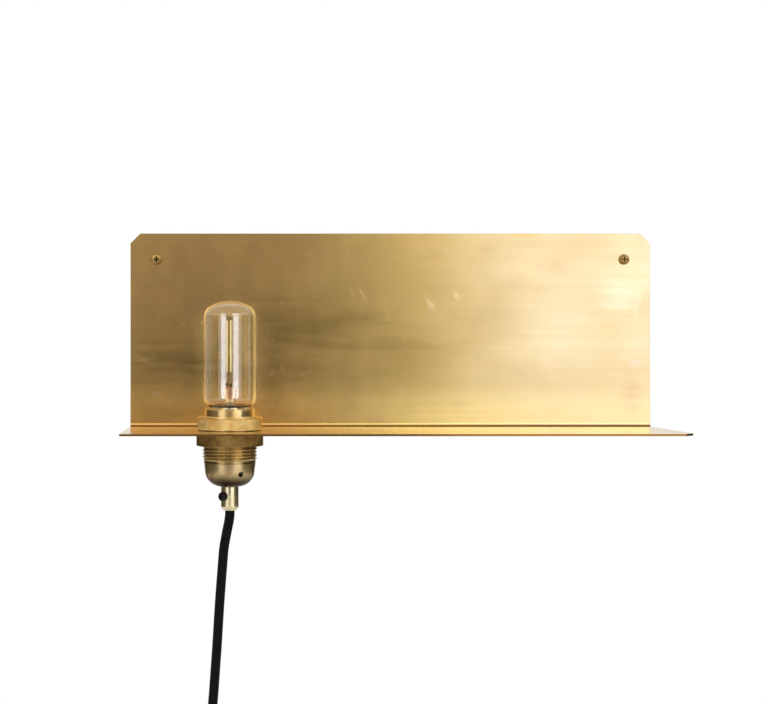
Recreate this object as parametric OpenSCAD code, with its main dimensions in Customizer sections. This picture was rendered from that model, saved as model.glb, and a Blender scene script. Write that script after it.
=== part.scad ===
// Wall lamp with shelf: one bent brass sheet holds a threaded screw lampholder
// between two knurled rings. The lamp is fed by a textile cord with a switch and a plug.
// Millimetres. X runs along the wall, +Y into the wall, +Z up.
// The origin is midway between the two wall screws, on the wall.

/* [Bracket] */
// Width of the back plate and of the shelf
bracket_w = 400; // [320:1:600]
// Height from the shelf's underside to the plate's top edge
bracket_h = 150; // [120:1:240]
// Depth of the shelf from the wall to its front edge
shelf_d = 100; // [85:1:160]
// Thickness of the brass sheet
sheet_t = 1.5; // [1:0.1:2.5]
// Inside radius of the bend
bend_r = 2.6; // [0.5:0.1:3]
// Cut across the plate's upper corners
top_corner_cut = 7.5; // [2:0.5:12]
// Cut across the shelf's right front corner
front_corner_cut = 7.5; // [2:0.5:15]

/* [Wall screws] */
// Distance of each wall screw from the plate's side edge
screw_side_inset = 20; // [14:1:60]
// Distance of each wall screw from the plate's top edge
screw_top_inset = 20; // [12:1:40]
// Diameter of the wall screw's thread
screw_d = 4; // [3.5:0.1:5]
// Length of the wall screw under its head
screw_l = 30; // [20:1:50]
// Diameter of the wall screw's head
screw_head_d = 8; // [7:0.1:9]
// Height of the wall screw's head
screw_head_h = 2.4; // [2:0.1:3.2]
// Play of the wall screw in its hole, all round
screw_play = 0.6; // [0.3:0.1:1]

/* [Lamp place] */
// Distance of the lamp's axis from the left edge
lamp_inset = 76.5; // [50:0.5:140]
// Distance of the lamp's axis from the wall
lamp_from_wall = 50; // [35:1:60]

/* [Lampholder] */
// Diameter of the outside thread that the rings run on
thread_d = 40; // [38:0.5:42]
// Pitch of the outside thread
thread_pitch = 2.4; // [2:0.1:3]
// Depth of the outside thread
thread_depth = 1; // [0.6:0.1:1.2]
// Bore of the threaded skirt
skirt_bore_d = 34.8; // [34:0.1:35.2]
// Diameter of the smooth rim over the upper ring
rim_d = 36.4; // [36:0.1:37.5]
// Height of the rim's lip over the shelf
rim_top = 15.4; // [13:0.1:18]
// Depth of the seam between skirt and cap under the shelf's top
seam_depth = 23.5; // [23:0.5:26]
// Length of the skirt's neck inside the cap
neck_l = 5; // [4:0.5:6]
// Diameter of the cap at its seam
cap_d = 37.8; // [37.4:0.1:39]
// Height of the cap
cap_h = 17.5; // [17:0.5:21]
// Wall of the cap
cap_wall = 1; // [0.8:0.1:1.1]
// Radius of the cap's rounded corner
cap_corner_r = 12; // [10:0.5:12.5]
// Diameter of the small hole in the cap's side
cap_hole_d = 3.8; // [2:0.1:4]

/* [Rings] */
// Diameter of the ring on top of the shelf
upper_ring_d = 47.5; // [46:0.5:52]
// Height of the ring on top of the shelf
upper_ring_h = 10; // [8:0.5:11]
// Diameter of the ring under the shelf
lower_ring_d = 49; // [46:0.5:54]
// Height of the ring under the shelf
lower_ring_h = 9.7; // [8:0.1:12]
// Depth of the knurled band under the ring's edges
knurl_depth = 0.3; // [0.2:0.05:0.5]
// Play of the rings on the thread, all round
ring_play = 0.35; // [0.3:0.05:0.5]

/* [Cord grip] */
// Diameter of the cord grip
grip_d = 12.9; // [12.5:0.1:14]
// Length of the cord grip under the cap
grip_l = 17.5; // [15:0.5:24]
// Diameter of the grip's set screw
set_screw_d = 4; // [3:0.5:4]
// Diameter of the set screw's round head
set_head_d = 6.8; // [5:0.1:8]
// Height of the set screw's round head
set_head_h = 3.2; // [2.5:0.1:4]

/* [Bulb] */
// Diameter of the bulb's glass tube
bulb_d = 38.5; // [36:0.5:39]
// Height of the bulb's crown over the shelf
bulb_top = 94.5; // [90:0.5:130]
// Height at which the bulb's foot starts over the shelf
bulb_foot = 16.6; // [16:0.1:20]
// Thickness of the bulb's glass
glass_t = 0.9; // [0.6:0.1:1.2]
// Diameter of the bulb's screw cap over its thread
screw_cap_d = 26.4; // [26:0.1:26.5]
// Pitch of the bulb's thread
screw_cap_pitch = 3.62; // [3.5:0.01:3.7]
// Length of the filaments
filament_l = 38; // [30:1:42]
// Thickness of a filament
filament_d = 1.3; // [1:0.1:2]

/* [Cord] */
// Diameter of the textile cord
cord_d = 7; // [6:0.1:7]
// Turns of the stored coil
coil_turns = 8.25; // [4.25:1:10.25]
// Radius of the coil's outermost turn
coil_r = 49.5; // [46:0.5:56]
// Free space between neighbouring turns
coil_gap = 0.6; // [0.5:0.1:1.5]

/* [Switch] */
// Length of the cord switch
switch_l = 62; // [60:1:62]
// Width of the cord switch
switch_w = 28; // [26:1:32]
// Thickness of the cord switch
switch_t = 22; // [22:0.5:26]
// Swing of the rocker from off to on, in degrees
rocker_swing = 16; // [8:1:16]

/* [Plug] */
// Diameter of the plug's face
plug_d = 38; // [36:0.5:39]
// Length of the plug's body
plug_l = 38; // [34:1:44]
// Distance between the plug's pins
pin_gap = 19; // [19:0.5:20]
// Diameter of a plug pin
pin_d = 4.8; // [4:0.1:4.8]
// Length of a plug pin
pin_l = 19; // [17:0.5:20]

/* [Hidden] */
$fn = 64;

brass = "#b08d3e";
turned_brass = "#a9883f";
steel = "#a8a9a8";
porcelain = "#ece8dc";
black_plastic = "#1b1b1c";
black_cord = "#17151a";

// clearances: two pieces that only touch, a loose fit, and a face that moves
touch = 0.1;
loose = 0.2;
moving = 0.35;

// the bracket
top_z = screw_top_inset;
shelf_under_z = top_z - bracket_h;
shelf_top_z = shelf_under_z + sheet_t;
screw_x = bracket_w / 2 - screw_side_inset;
lamp_x = lamp_inset - bracket_w / 2;
lamp_y = -lamp_from_wall;

// the lampholder, in heights over the shelf's top
thread_r = thread_d / 2;
thread_root_r = thread_r - thread_depth;
skirt_bore_r = skirt_bore_d / 2;
rim_r = rim_d / 2;
seam_z = -seam_depth;
thread_end_z = seam_z + 2.3;
shoulder_z = seam_z + 1;
neck_r = cap_d / 2 - cap_wall - 0.7;
neck_bore_r = neck_r - 1;
neck_end_z = seam_z - neck_l;
cap_end_z = seam_z - cap_h;
cap_floor_z = cap_end_z + cap_wall;
cap_taper = 0.6;
cap_side_r = cap_d / 2 - cap_taper;
cap_corner_x = cap_side_r - cap_corner_r;
cap_corner_z = cap_end_z + cap_corner_r;
cap_hole_z = cap_end_z + 10;
cap_hole_turn = 26;
lower_ring_z = -sheet_t - lower_ring_h;

// the insert with its contacts
insert_top_z = 6.5;
insert_r = skirt_bore_r - touch;
insert_neck_r = neck_bore_r - touch;
shell_wall = 0.4;
shell_r = screw_cap_d / 2 + 0.3;
insert_bore_r = shell_r + shell_wall + touch;
insert_floor_z = seam_z + 3.5;
strap_t = 1;
strap_w = 8;
strap_z = neck_end_z - strap_t;
block_w = 6.4;
block_l = 7;
block_h = 6.5;
block_x = 9.7;
block_top_z = neck_end_z + 3;
tail_t = 0.5;
tail_w = 4;
terminal_screw_z = block_top_z - block_h + 1.9;
m3_r = 1.5;
m3_head_r = 2.7;
m3_head_h = 1.9;
insert_screw_y = 11;
nut_flats = 14;
nut_h = 3;
nut_face_h = 0.4;
nipple_r = 5;
nipple_top_z = cap_floor_z + nut_h + 0.5;

// the cord grip
cord_r = cord_d / 2;
core_r = 1;
grip_r = grip_d / 2;
grip_end_z = cap_end_z - grip_l;
grip_bore_r = 3.5 + touch;
grip_chamfer = 1.6;
set_screw_z = cap_end_z - 7;
set_screw_turn = -41;
set_screw_r = set_screw_d / 2;
set_head_gap = 0.4;
set_tip_r = cord_r + 0.4;

// the bulb, in heights over the shelf's top
bulb_r = bulb_d / 2;
bulb_neck_r = 12.4;
bulb_foot_r = 7;
bulb_crown_h = 11.9;
bulb_corner_r = 9.5;
bulb_crown_r = (pow(bulb_r - bulb_corner_r, 2) + pow(bulb_crown_h, 2) - pow(bulb_corner_r, 2))
    / (2 * (bulb_crown_h - bulb_corner_r));
bulb_wall_z = bulb_top - bulb_crown_h;
bulb_foot_z = bulb_foot + bulb_foot_r;
cap_tip_z = insert_floor_z + 1.6;
cap_thread_z = cap_tip_z + 4.9;
cap_top_z = 8;
cap_root_r = screw_cap_d / 2 - 1.1;
cap_ridges = 5;
stem_foot_z = 2;
pinch_top_z = 31;
pinch_h = 8;
filament_z = pinch_top_z + 11.3;
filament_x = [-2.1, 0.7];

// The cord's free stretches. The upper one is counted from the grip's end and the lower
// one from the switch's end: across, towards the wall, and up.
upper_route = [
    [0, 0, 0], [0, 0, -3], [-0.6, 0, -8], [-2.4, 0, -17], [-4.3, 0, -28], [-5.5, 0, -42],
    [-6.9, 0, -60], [-8.1, 0, -78], [-9.3, 0, -98], [-10.5, 0, -115], [-11.7, 0, -132],
    [-12.8, 0, -146], [-13.1, 0, -153], [-13.1, 0, -156],
];
lower_route = [
    [0, 0, 0], [0, 0, -3], [-0.7, -1, -10], [-3.1, -2.4, -17], [-5.9, -4, -24], [-7.7, -6, -32],
    [-7.2, -8, -40], [-4.5, -9.6, -48], [0.3, -10.8, -55], [6.7, -11.4, -59.8],
    [13.9, -11.4, -61.5], [20.9, -11.4, -61.5],
];
switch_top = [0, 0, grip_end_z] + upper_route[len(upper_route) - 1];
switch_end = switch_top - [0, 0, switch_l];
lower_end = switch_end + lower_route[len(lower_route) - 1];

// the coil: four layers of turns that spiral in and out, wound clockwise from its top
coil_layers = 4;
coil_steps = 24;
coil_sides = 6;
coil_lead = cord_d;
coil_tail = 24;
layer_turns = coil_turns / coil_layers;
turn_pitch = cord_d + coil_gap;
coil_pitch_y = turn_pitch;
coil_inner_r = coil_r - layer_turns * turn_pitch;
coil_x = lower_end[0] + coil_lead;
coil_z = lower_end[2] - coil_r;
coil_y = lower_end[1];
coil_end_y = coil_y + (coil_layers - 1) * coil_pitch_y;
coil_mid_y = (coil_y + coil_end_y) / 2;
tie_w = 14;
tie_t = 1.6;
tie_turn = 22;
tie_inner_r = coil_inner_r - cord_r - 1;
tie_outer_r = coil_r + cord_r;

// the switch
shell_t = 2;
switch_corner_r = 7;
port_r = cord_r + loose;
rocker_w = 12;
rocker_l = 17;
window_w = rocker_w + 2 * moving;
window_l = rocker_l + 2.2;
axle_r = 1.3;
axle_y = -switch_t / 2 + 3.2;
axle_reach = 1.6;
switch_screw_z = switch_l / 2 - 9;
switch_screw_x = switch_w / 2 - 5.5;
contact_x = 8;
contact_z = 15;

// the plug hangs from the coil's tail with its pins down
plug_x = coil_x + coil_r;
plug_y = coil_end_y;
sleeve_top_z = coil_z - coil_tail;
sleeve_l = 26;
plug_top_z = sleeve_top_z - sleeve_l;
plug_face_z = plug_top_z - plug_l;
plug_r = plug_d / 2;
plug_waist_r = 14;
sleeve_top_r = cord_r + 1.3;
sleeve_end_r = 7;
clip_w = 8;
clip_t = 1;
pin_core_r = 1.8;

// Points of a round stretch with its centre at [x, y], turning from one angle to another.
function arc(x, y, r, from, to, n = 10) =
    [for (i = [0:n]) [x + r * cos(from + (to - from) * i / n), y + r * sin(from + (to - from) * i / n)]];

function unit(v) = v / norm(v);

// Direction of a route at point i: from its neighbour before to its neighbour after.
function heading(p, i) = unit(p[min(i + 1, len(p) - 1)] - p[max(i - 1, 0)]);

// The rings of a round tube along a route that never runs straight towards the wall.
function tube_rings(p, r, sides) = [
    for (i = [0:len(p) - 1])
        let (t = heading(p, i), u = unit(cross([0, 1, 0], t)), v = cross(t, u))
            for (k = [0:sides - 1]) p[i] + r * (cos(360 * k / sides) * u + sin(360 * k / sides) * v)
];

function tube_faces(n, sides) = concat(
    [for (i = [0:n - 2]) for (k = [0:sides - 1])
        [i * sides + k, (i + 1) * sides + (k + 1) % sides, i * sides + (k + 1) % sides]],
    [for (i = [0:n - 2]) for (k = [0:sides - 1])
        [i * sides + k, (i + 1) * sides + k, (i + 1) * sides + (k + 1) % sides]],
    [for (k = [1:sides - 2]) [0, k, k + 1]],
    [for (k = [1:sides - 2]) [(n - 1) * sides, (n - 1) * sides + k + 1, (n - 1) * sides + k]]
);

module tube(p, r, sides) {
    polyhedron(points = tube_rings(p, r, sides), faces = tube_faces(len(p), sides), convexity = 10);
}

// Half a turn long climb from one layer to the next, smooth at both ends.
function climb(s) = s <= 0 ? 0 : s >= 1 ? 1 : s * s * (3 - 2 * s);

// The coil's centre line after so many turns.
function coil_point(turn) =
    let (
        layer = min(floor(turn / layer_turns), coil_layers - 1),
        share = turn / layer_turns - layer,
        inward = layer % 2 == 0 ? share : 1 - share,
        r = coil_r - inward * layer_turns * turn_pitch,
        up = [for (k = [1:coil_layers - 1]) climb((turn - k * layer_turns) * 2 + 0.5)],
        a = 90 - 360 * turn
    )
    [coil_x + r * cos(a), coil_y + coil_pitch_y * (up[0] + up[1] + up[2]), coil_z + r * sin(a)];

coil_ring_count = round(coil_turns * coil_steps);
coil_line = [for (i = [0:coil_ring_count]) coil_point(coil_turns * i / coil_ring_count)];
coil_route = concat(
    [coil_line[0] - [coil_lead, 0, 0]],
    coil_line,
    [coil_line[coil_ring_count] - [0, 0, coil_tail]]
);

// The least gap between turns, from centre to centre less one diameter.
coil_least_gap = min([
    for (i = [0:coil_ring_count]) for (j = [i + coil_steps / 2:1:coil_ring_count])
        norm(coil_line[i] - coil_line[j])
]) - cord_d;

function moved(p, by) = [for (q = p) q + by];

function route_length(p) = len(p) < 2 ? 0 : [for (i = [1:len(p) - 1]) norm(p[i] - p[i - 1])]
    * [for (i = [1:len(p) - 1]) 1];

cord_length = route_length(upper_route) + switch_l + route_length(lower_route) + route_length(coil_route);
echo(coil_least_gap = coil_least_gap, cord_length = cord_length);

module at_lamp() translate([lamp_x, lamp_y, shelf_top_z]) children();

module at_switch() at_lamp() translate((switch_top + switch_end) / 2) children();

module at_plug() at_lamp() translate([plug_x, plug_y, 0]) children();

// A cylinder that lies along the direction turned from the front, from one radius to another.
module spoke(turn, z, from, to, r) {
    rotate([0, 0, turn]) translate([0, -from, z]) rotate([90, 0, 0]) cylinder(r = r, h = to - from);
}

module shelf_bracket() {
    // a side view of the sheet, with the wall on the right
    module side_view() {
        outer_r = bend_r + sheet_t;
        translate([-sheet_t, shelf_under_z + outer_r]) square([sheet_t, bracket_h - outer_r]);
        translate([-shelf_d, shelf_under_z]) square([shelf_d - outer_r, sheet_t]);
        translate([-outer_r, shelf_under_z + outer_r]) difference() {
            intersection() {
                circle(r = outer_r);
                translate([0, -outer_r]) square(outer_r);
            }
            circle(r = bend_r);
        }
    }
    module corner(cut) rotate([0, 0, 45]) square(cut * sqrt(2), center = true);
    color(brass) difference() {
        rotate([90, 0, 90]) translate([0, 0, -bracket_w / 2]) linear_extrude(bracket_w) side_view();
        for (side = [-1, 1]) {
            translate([side * bracket_w / 2, 1, top_z]) rotate([90, 0, 0])
                linear_extrude(sheet_t + 2) corner(top_corner_cut);
            translate([side * screw_x, 1, 0]) rotate([90, 0, 0])
                cylinder(d = screw_d + 2 * screw_play, h = sheet_t + 2);
        }
        translate([bracket_w / 2, -shelf_d, shelf_under_z - 1])
            linear_extrude(sheet_t + 2) corner(front_corner_cut);
        translate([lamp_x, lamp_y, shelf_under_z - 1])
            cylinder(r = thread_r + ring_play, h = sheet_t + 2);
    }
}

// A cross recess, cut from the top of a screw head down.
module cross_recess(size, depth) {
    for (turn = [0, 90]) rotate([0, 0, turn])
        translate([-size / 2, -size / 10, -depth]) cube([size, size / 5, depth + 2]);
}

// A pan head over z = 0.
module pan_head(r, h) {
    rotate_extrude() polygon(concat([[0, 0], [r, 0]], arc(r - h * 0.75, h * 0.25, h * 0.75, 0, 90, 6), [[0, h]]));
}

// A wall screw with its head towards +Z. Its plain neck stays in the sheet and its thread
// starts at the wall.
module wall_screw() {
    r = screw_d / 2;
    root_r = r * 0.7;
    pitch = 1.8;
    tip = 5;
    ridges = floor((screw_l - sheet_t - tip) / pitch);
    difference() {
        union() {
            pan_head(screw_head_d / 2, screw_head_h);
            translate([0, 0, -screw_l + tip]) cylinder(r = root_r, h = screw_l - tip);
            translate([0, 0, -screw_l]) cylinder(r1 = 0.3, r2 = root_r, h = tip);
            for (i = [0:ridges - 1]) translate([0, 0, -sheet_t - i * pitch - 0.9]) {
                cylinder(r1 = root_r, r2 = r, h = 0.3);
                translate([0, 0, 0.3]) cylinder(r = r, h = 0.3);
                translate([0, 0, 0.6]) cylinder(r1 = r, r2 = root_r, h = 0.3);
            }
        }
        translate([0, 0, screw_head_h]) cross_recess(screw_head_d * 0.55, screw_head_h * 0.6);
    }
}

module wall_screws() {
    color(turned_brass) for (side = [-1, 1])
        translate([side * screw_x, -sheet_t, 0]) rotate([90, 0, 0]) wall_screw();
}

// A knurled ring over z = 0: two edges with a knurled band between them, and a plain bore.
module knurled_ring(d, h) {
    r = d / 2;
    edge = 1.2;
    chamfer = 0.5;
    color(turned_brass) difference() {
        rotate_extrude() polygon([
            [thread_r - 2, 0], [r - chamfer, 0], [r, chamfer], [r, edge],
            [r - knurl_depth, edge + knurl_depth], [r - knurl_depth, h - edge - knurl_depth],
            [r, h - edge], [r, h - chamfer], [r - chamfer, h], [thread_r - 2, h],
        ]);
        translate([0, 0, -1]) cylinder(r = thread_r + ring_play, h = h + 2);
    }
}

module upper_shade_ring() at_lamp() knurled_ring(upper_ring_d, upper_ring_h);

module lower_shade_ring() at_lamp() translate([0, 0, lower_ring_z]) knurled_ring(lower_ring_d, lower_ring_h);

// The threaded skirt: a smooth rim on top, the outside thread, a plain band and a neck.
module lampholder_skirt() {
    thread_top_z = upper_ring_h - 0.5;
    crests = floor((thread_top_z - thread_end_z) / thread_pitch);
    flat = thread_pitch / 6;
    lip = 0.6;
    at_lamp() color(turned_brass) difference() {
        union() {
            rotate_extrude() polygon([
                [0, neck_end_z], [neck_r, neck_end_z], [neck_r, seam_z], [thread_root_r, seam_z],
                [thread_root_r, thread_top_z], [rim_r, thread_top_z + 0.5], [rim_r, rim_top - lip],
                [rim_r - lip / 2, rim_top], [0, rim_top],
            ]);
            for (i = [0:crests - 1]) translate([0, 0, thread_end_z + i * thread_pitch]) rotate_extrude()
                polygon([
                    [thread_root_r - 0.3, 0], [thread_root_r, 0],
                    [thread_r, thread_pitch / 2 - flat], [thread_r, thread_pitch / 2 + flat],
                    [thread_root_r, thread_pitch - flat / 2], [thread_root_r - 0.3, thread_pitch - flat / 2],
                ]);
        }
        translate([0, 0, shoulder_z]) cylinder(r = skirt_bore_r, h = rim_top - shoulder_z + 1);
        translate([0, 0, neck_end_z - 1]) cylinder(r = neck_bore_r, h = shoulder_z - neck_end_z + 2);
    }
}

// The domed cap with its hole for the cord grip and a small hole in its side.
module lampholder_cap() {
    module outline(wall) intersection() {
        union() {
            polygon([
                [0, cap_end_z + wall], [cap_corner_x, cap_end_z + wall], [cap_corner_x, cap_corner_z],
                [cap_side_r - wall, cap_corner_z], [cap_d / 2 - wall, seam_z + (wall > 0 ? 1 : 0)],
                [0, seam_z + (wall > 0 ? 1 : 0)],
            ]);
            translate([cap_corner_x, cap_corner_z]) circle(r = cap_corner_r - wall);
        }
        translate([0, cap_end_z]) square([cap_d, cap_h + 1]);
    }
    at_lamp() color(turned_brass) difference() {
        rotate_extrude() outline(0);
        rotate_extrude() outline(cap_wall);
        translate([0, 0, cap_end_z - 1]) cylinder(r = nipple_r + touch, h = cap_wall + 2);
        spoke(cap_hole_turn, cap_hole_z, cap_side_r - 4, cap_side_r + 3, cap_hole_d / 2);
    }
}

// The porcelain insert carries the screw shell, the contacts and the terminal blocks.
module porcelain_insert() {
    tail_slot = tail_t + 2 * touch;
    at_lamp() color(porcelain) difference() {
        union() {
            translate([0, 0, shoulder_z]) cylinder(r = insert_r, h = insert_top_z - shoulder_z);
            translate([0, 0, neck_end_z]) cylinder(r = insert_neck_r, h = shoulder_z - neck_end_z);
        }
        translate([0, 0, insert_floor_z]) cylinder(r = insert_bore_r, h = insert_top_z - insert_floor_z + 1);
        for (side = [-1, 1]) {
            translate([side * block_x - block_w / 2 - touch, -block_l / 2 - touch, neck_end_z - 1])
                cube([block_w + 2 * touch, block_l + 2 * touch, block_top_z - neck_end_z + 1]);
            translate([side * block_x - tail_slot / 2, -tail_w / 2 - touch, block_top_z - 1])
                cube([tail_slot, tail_w + 2 * touch, insert_floor_z - block_top_z + 2]);
            translate([side * block_x - m3_head_r - touch, -block_l / 2 - m3_head_h - 1, neck_end_z - 1])
                cube([2 * (m3_head_r + touch), m3_head_h + 2, terminal_screw_z + m3_head_r + touch - neck_end_z + 1]);
            translate([0, side * insert_screw_y, neck_end_z - 1]) cylinder(r = m3_r + touch, h = 6.5);
        }
        translate([0, 0, neck_end_z - 1]) cylinder(r = m3_r + touch, h = 5);
    }
}

// A contact's tail from the insert's floor down to its terminal block.
module contact_tail(side) {
    translate([side * block_x - tail_t / 2, -tail_w / 2, block_top_z])
        cube([tail_t, tail_w, insert_floor_z - block_top_z + tail_t]);
}

// The screw shell that takes the bulb's thread, with inward ridges and a contact tail.
module screw_shell() {
    shell_h = insert_top_z - 1.5 - insert_floor_z;
    ridge_r = 0.6;
    at_lamp() color(brass) {
        difference() {
            union() {
                translate([0, 0, insert_floor_z]) cylinder(r = shell_r + shell_wall, h = shell_h);
                contact_tail(-1);
            }
            translate([0, 0, insert_floor_z + tail_t]) cylinder(r = shell_r, h = shell_h);
            translate([1 - block_x, -shell_r - 1, insert_floor_z - 0.01])
                cube([2 * shell_r, 2 * shell_r + 2, tail_t + 0.02]);
        }
        for (i = [0:cap_ridges - 2]) translate([0, 0, cap_thread_z + (i + 0.5) * screw_cap_pitch])
            rotate_extrude() intersection() {
                translate([shell_r, 0]) circle(r = ridge_r, $fn = 24);
                translate([shell_r - 2 * ridge_r, -ridge_r]) square([2 * ridge_r + shell_wall / 2, 2 * ridge_r]);
            }
    }
}

// The sprung leaf under the bulb's centre contact.
module centre_contact() {
    nose_z = cap_tip_z - touch;
    at_lamp() color(brass) {
        contact_tail(1);
        rotate([90, 0, 0]) translate([0, 0, -tail_w / 2]) linear_extrude(tail_w) polygon([
            [block_x + tail_t / 2, insert_floor_z], [block_x + tail_t / 2, insert_floor_z + tail_t],
            [4.5, insert_floor_z + tail_t], [1, nose_z], [-1.5, nose_z],
            [-1.5, nose_z - tail_t], [0.8, nose_z - tail_t], [4.3, insert_floor_z],
        ]);
    }
}

module terminal_blocks() {
    at_lamp() color(brass) for (side = [-1, 1]) difference() {
        translate([side * block_x - block_w / 2, -block_l / 2, block_top_z - block_h])
            cube([block_w, block_l, block_h]);
        translate([side * block_x, 0, block_top_z - block_h - 1]) cylinder(r = core_r + touch, h = 4);
        translate([side * block_x, 0, terminal_screw_z]) rotate([90, 0, 0]) cylinder(r = m3_r + touch, h = block_l);
    }
}

// A small slotted screw along +Z: its head over z = 0 and its shank under it.
module small_screw(shank_l) {
    difference() {
        union() {
            cylinder(r = m3_head_r, h = m3_head_h);
            translate([0, 0, -shank_l]) cylinder(r = m3_r, h = shank_l);
        }
        translate([-m3_head_r - 1, -0.35, m3_head_h - 0.8]) cube([2 * m3_head_r + 2, 0.7, 2]);
    }
}

module terminal_screws() {
    shank = block_l / 2 - core_r - touch;
    at_lamp() color(steel) for (side = [-1, 1])
        translate([side * block_x, -block_l / 2, terminal_screw_z]) rotate([90, 0, 0]) small_screw(shank);
}

// The strap that holds the insert against the skirt and carries the earth screw.
module earth_strap() {
    half = neck_r - 0.7;
    at_lamp() color(steel) difference() {
        translate([-strap_w / 2, -half, strap_z]) cube([strap_w, 2 * half, strap_t]);
        for (y = [-insert_screw_y, 0, insert_screw_y])
            translate([0, y, strap_z - 1]) cylinder(r = m3_r + touch, h = strap_t + 2);
    }
}

module insert_screws() {
    at_lamp() color(steel) for (side = [-1, 1])
        translate([0, side * insert_screw_y, strap_z]) rotate([180, 0, 0]) small_screw(6);
}

module earth_screw() {
    at_lamp() color(brass) translate([0, 0, strap_z]) rotate([180, 0, 0]) small_screw(4);
}

// The nut on the grip's nipple, with a round face on the cap's flat floor.
module entry_nut() {
    at_lamp() color(steel) translate([0, 0, cap_floor_z]) difference() {
        union() {
            cylinder(r = cap_corner_x, h = nut_h / 2);
            translate([0, 0, nut_face_h]) cylinder(d = nut_flats / cos(30), h = nut_h - nut_face_h, $fn = 6);
        }
        translate([0, 0, -1]) cylinder(r = nipple_r + touch, h = nut_h + 2);
    }
}

// The brass cord grip: a hollow nipple goes into the cap, and the body hangs under it.
module cord_grip() {
    at_lamp() color(turned_brass) difference() {
        union() {
            translate([0, 0, cap_end_z]) cylinder(r = nipple_r, h = nipple_top_z - cap_end_z);
            translate([0, 0, grip_end_z]) rotate_extrude() polygon([
                [0, 0], [grip_r - grip_chamfer, 0], [grip_r, grip_chamfer * 1.5],
                [grip_r, grip_l - 0.4], [grip_r - 0.4, grip_l], [0, grip_l],
            ]);
        }
        translate([0, 0, grip_end_z - 1]) cylinder(r = grip_bore_r, h = nipple_top_z - grip_end_z + 2);
        spoke(set_screw_turn, set_screw_z, 0, grip_r + 2, set_screw_r + touch / 2);
    }
}

// The black set screw that pinches the cord, with a domed head.
module grip_set_screw() {
    head_r = set_head_d / 2;
    at_lamp() color(black_plastic) {
        spoke(set_screw_turn, set_screw_z, set_tip_r, grip_r + set_head_gap + 0.1, set_screw_r);
        rotate([0, 0, set_screw_turn]) translate([0, -grip_r - set_head_gap, set_screw_z]) rotate([90, 0, 0])
            rotate_extrude() polygon(concat(
                [[0, 0], [head_r - 0.3, 0], [head_r, 0.3]],
                arc(head_r - set_head_h * 0.55, set_head_h * 0.45, set_head_h * 0.55, 0, 90, 6),
                [[0, set_head_h]]
            ));
    }
}

module cord_end_in_grip() {
    at_lamp() color(black_cord) translate([0, 0, grip_end_z])
        cylinder(r = cord_r, h = cap_floor_z + nut_h - 0.5 - grip_end_z);
}

core_start_z = cap_floor_z + nut_h - 0.5;
block_end_z = block_top_z - block_h;

// A core from the cord's end to the terminal block on one side.
module terminal_core(side) {
    at_lamp() tube([
        [side * 1.6, 0, core_start_z], [side * 1.6, 0, core_start_z + 0.8], [side * 2.4, 0, core_start_z + 1.9],
        [side * 4.4, 0, core_start_z + 2.5], [side * 7, 0, core_start_z + 2.8],
        [side * (block_x - 0.8), 0, block_end_z - 2.1], [side * block_x, 0, block_end_z - 1],
        [side * block_x, 0, block_end_z],
    ], core_r, 8);
}

module live_core() color("#7a4a2a") terminal_core(1);

module neutral_core() color("#2f5f9a") terminal_core(-1);

module earth_core() {
    at_lamp() color("#8aa63a") tube([
        [0, -2, core_start_z], [0, -2, core_start_z + 0.8], [0, -2.8, core_start_z + 2.2],
        [0, -4, core_start_z + 3.8], [0, -4.6, core_start_z + 5.4], [0, -4.6, strap_z],
    ], core_r, 8);
}

// Half of the bulb's outline, shrunk by the glass for its inside.
module bulb_outline(wall) {
    lean = atan2(bulb_wall_z - bulb_top + bulb_crown_r, bulb_r - bulb_corner_r);
    neck_lift = sqrt(pow(bulb_foot_r - wall, 2) - pow(bulb_neck_r - wall - bulb_r + bulb_foot_r, 2));
    neck_turn = atan2(-neck_lift, bulb_neck_r - wall - bulb_r + bulb_foot_r);
    polygon(concat(
        [[0, stem_foot_z], [bulb_neck_r - wall, stem_foot_z]],
        arc(bulb_r - bulb_foot_r, bulb_foot_z, bulb_foot_r - wall, neck_turn, 0, 12),
        arc(bulb_r - bulb_corner_r, bulb_wall_z, bulb_corner_r - wall, 0, lean, 10),
        arc(0, bulb_top - bulb_crown_r, bulb_crown_r - wall, lean, 90, 8)
    ));
}

module bulb_glass() {
    at_lamp() color([0.93, 0.9, 0.8, 0.4]) rotate_extrude() difference() {
        bulb_outline(0);
        bulb_outline(glass_t);
    }
}

// The glass stem: a flare that closes the neck, a tube, and a flat pinch.
module bulb_stem() {
    stem_r = 3.6;
    flare_r = bulb_neck_r - glass_t;
    stem_top_z = pinch_top_z - pinch_h;
    at_lamp() color([0.9, 0.9, 0.85, 0.5]) {
        rotate_extrude() polygon([
            [1.2, stem_foot_z], [flare_r, stem_foot_z], [flare_r, stem_foot_z + 1], [6, stem_foot_z + 4],
            [stem_r, stem_foot_z + 8], [stem_r, stem_top_z], [1.2, stem_top_z],
        ]);
        translate([-4.6, -1.6, stem_top_z]) cube([9.2, 3.2, pinch_h]);
    }
}

// The wires that carry the filaments: a lead under each, and a bridge over them.
module bulb_wires() {
    wire_r = 0.35;
    top_z = filament_z + filament_l;
    at_lamp() color(steel) {
        for (x = filament_x) {
            translate([x, 0, pinch_top_z]) cylinder(r = wire_r, h = filament_z - pinch_top_z);
            translate([x, 0, top_z]) cylinder(r = wire_r, h = 1.2);
        }
        translate([filament_x[0], 0, top_z + 1.2]) rotate([0, 90, 0])
            cylinder(r = wire_r, h = filament_x[1] - filament_x[0]);
    }
}

module bulb_filaments() {
    at_lamp() color("#e6cf86") for (x = filament_x)
        translate([x, 0, filament_z]) cylinder(d = filament_d, h = filament_l);
}

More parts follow.
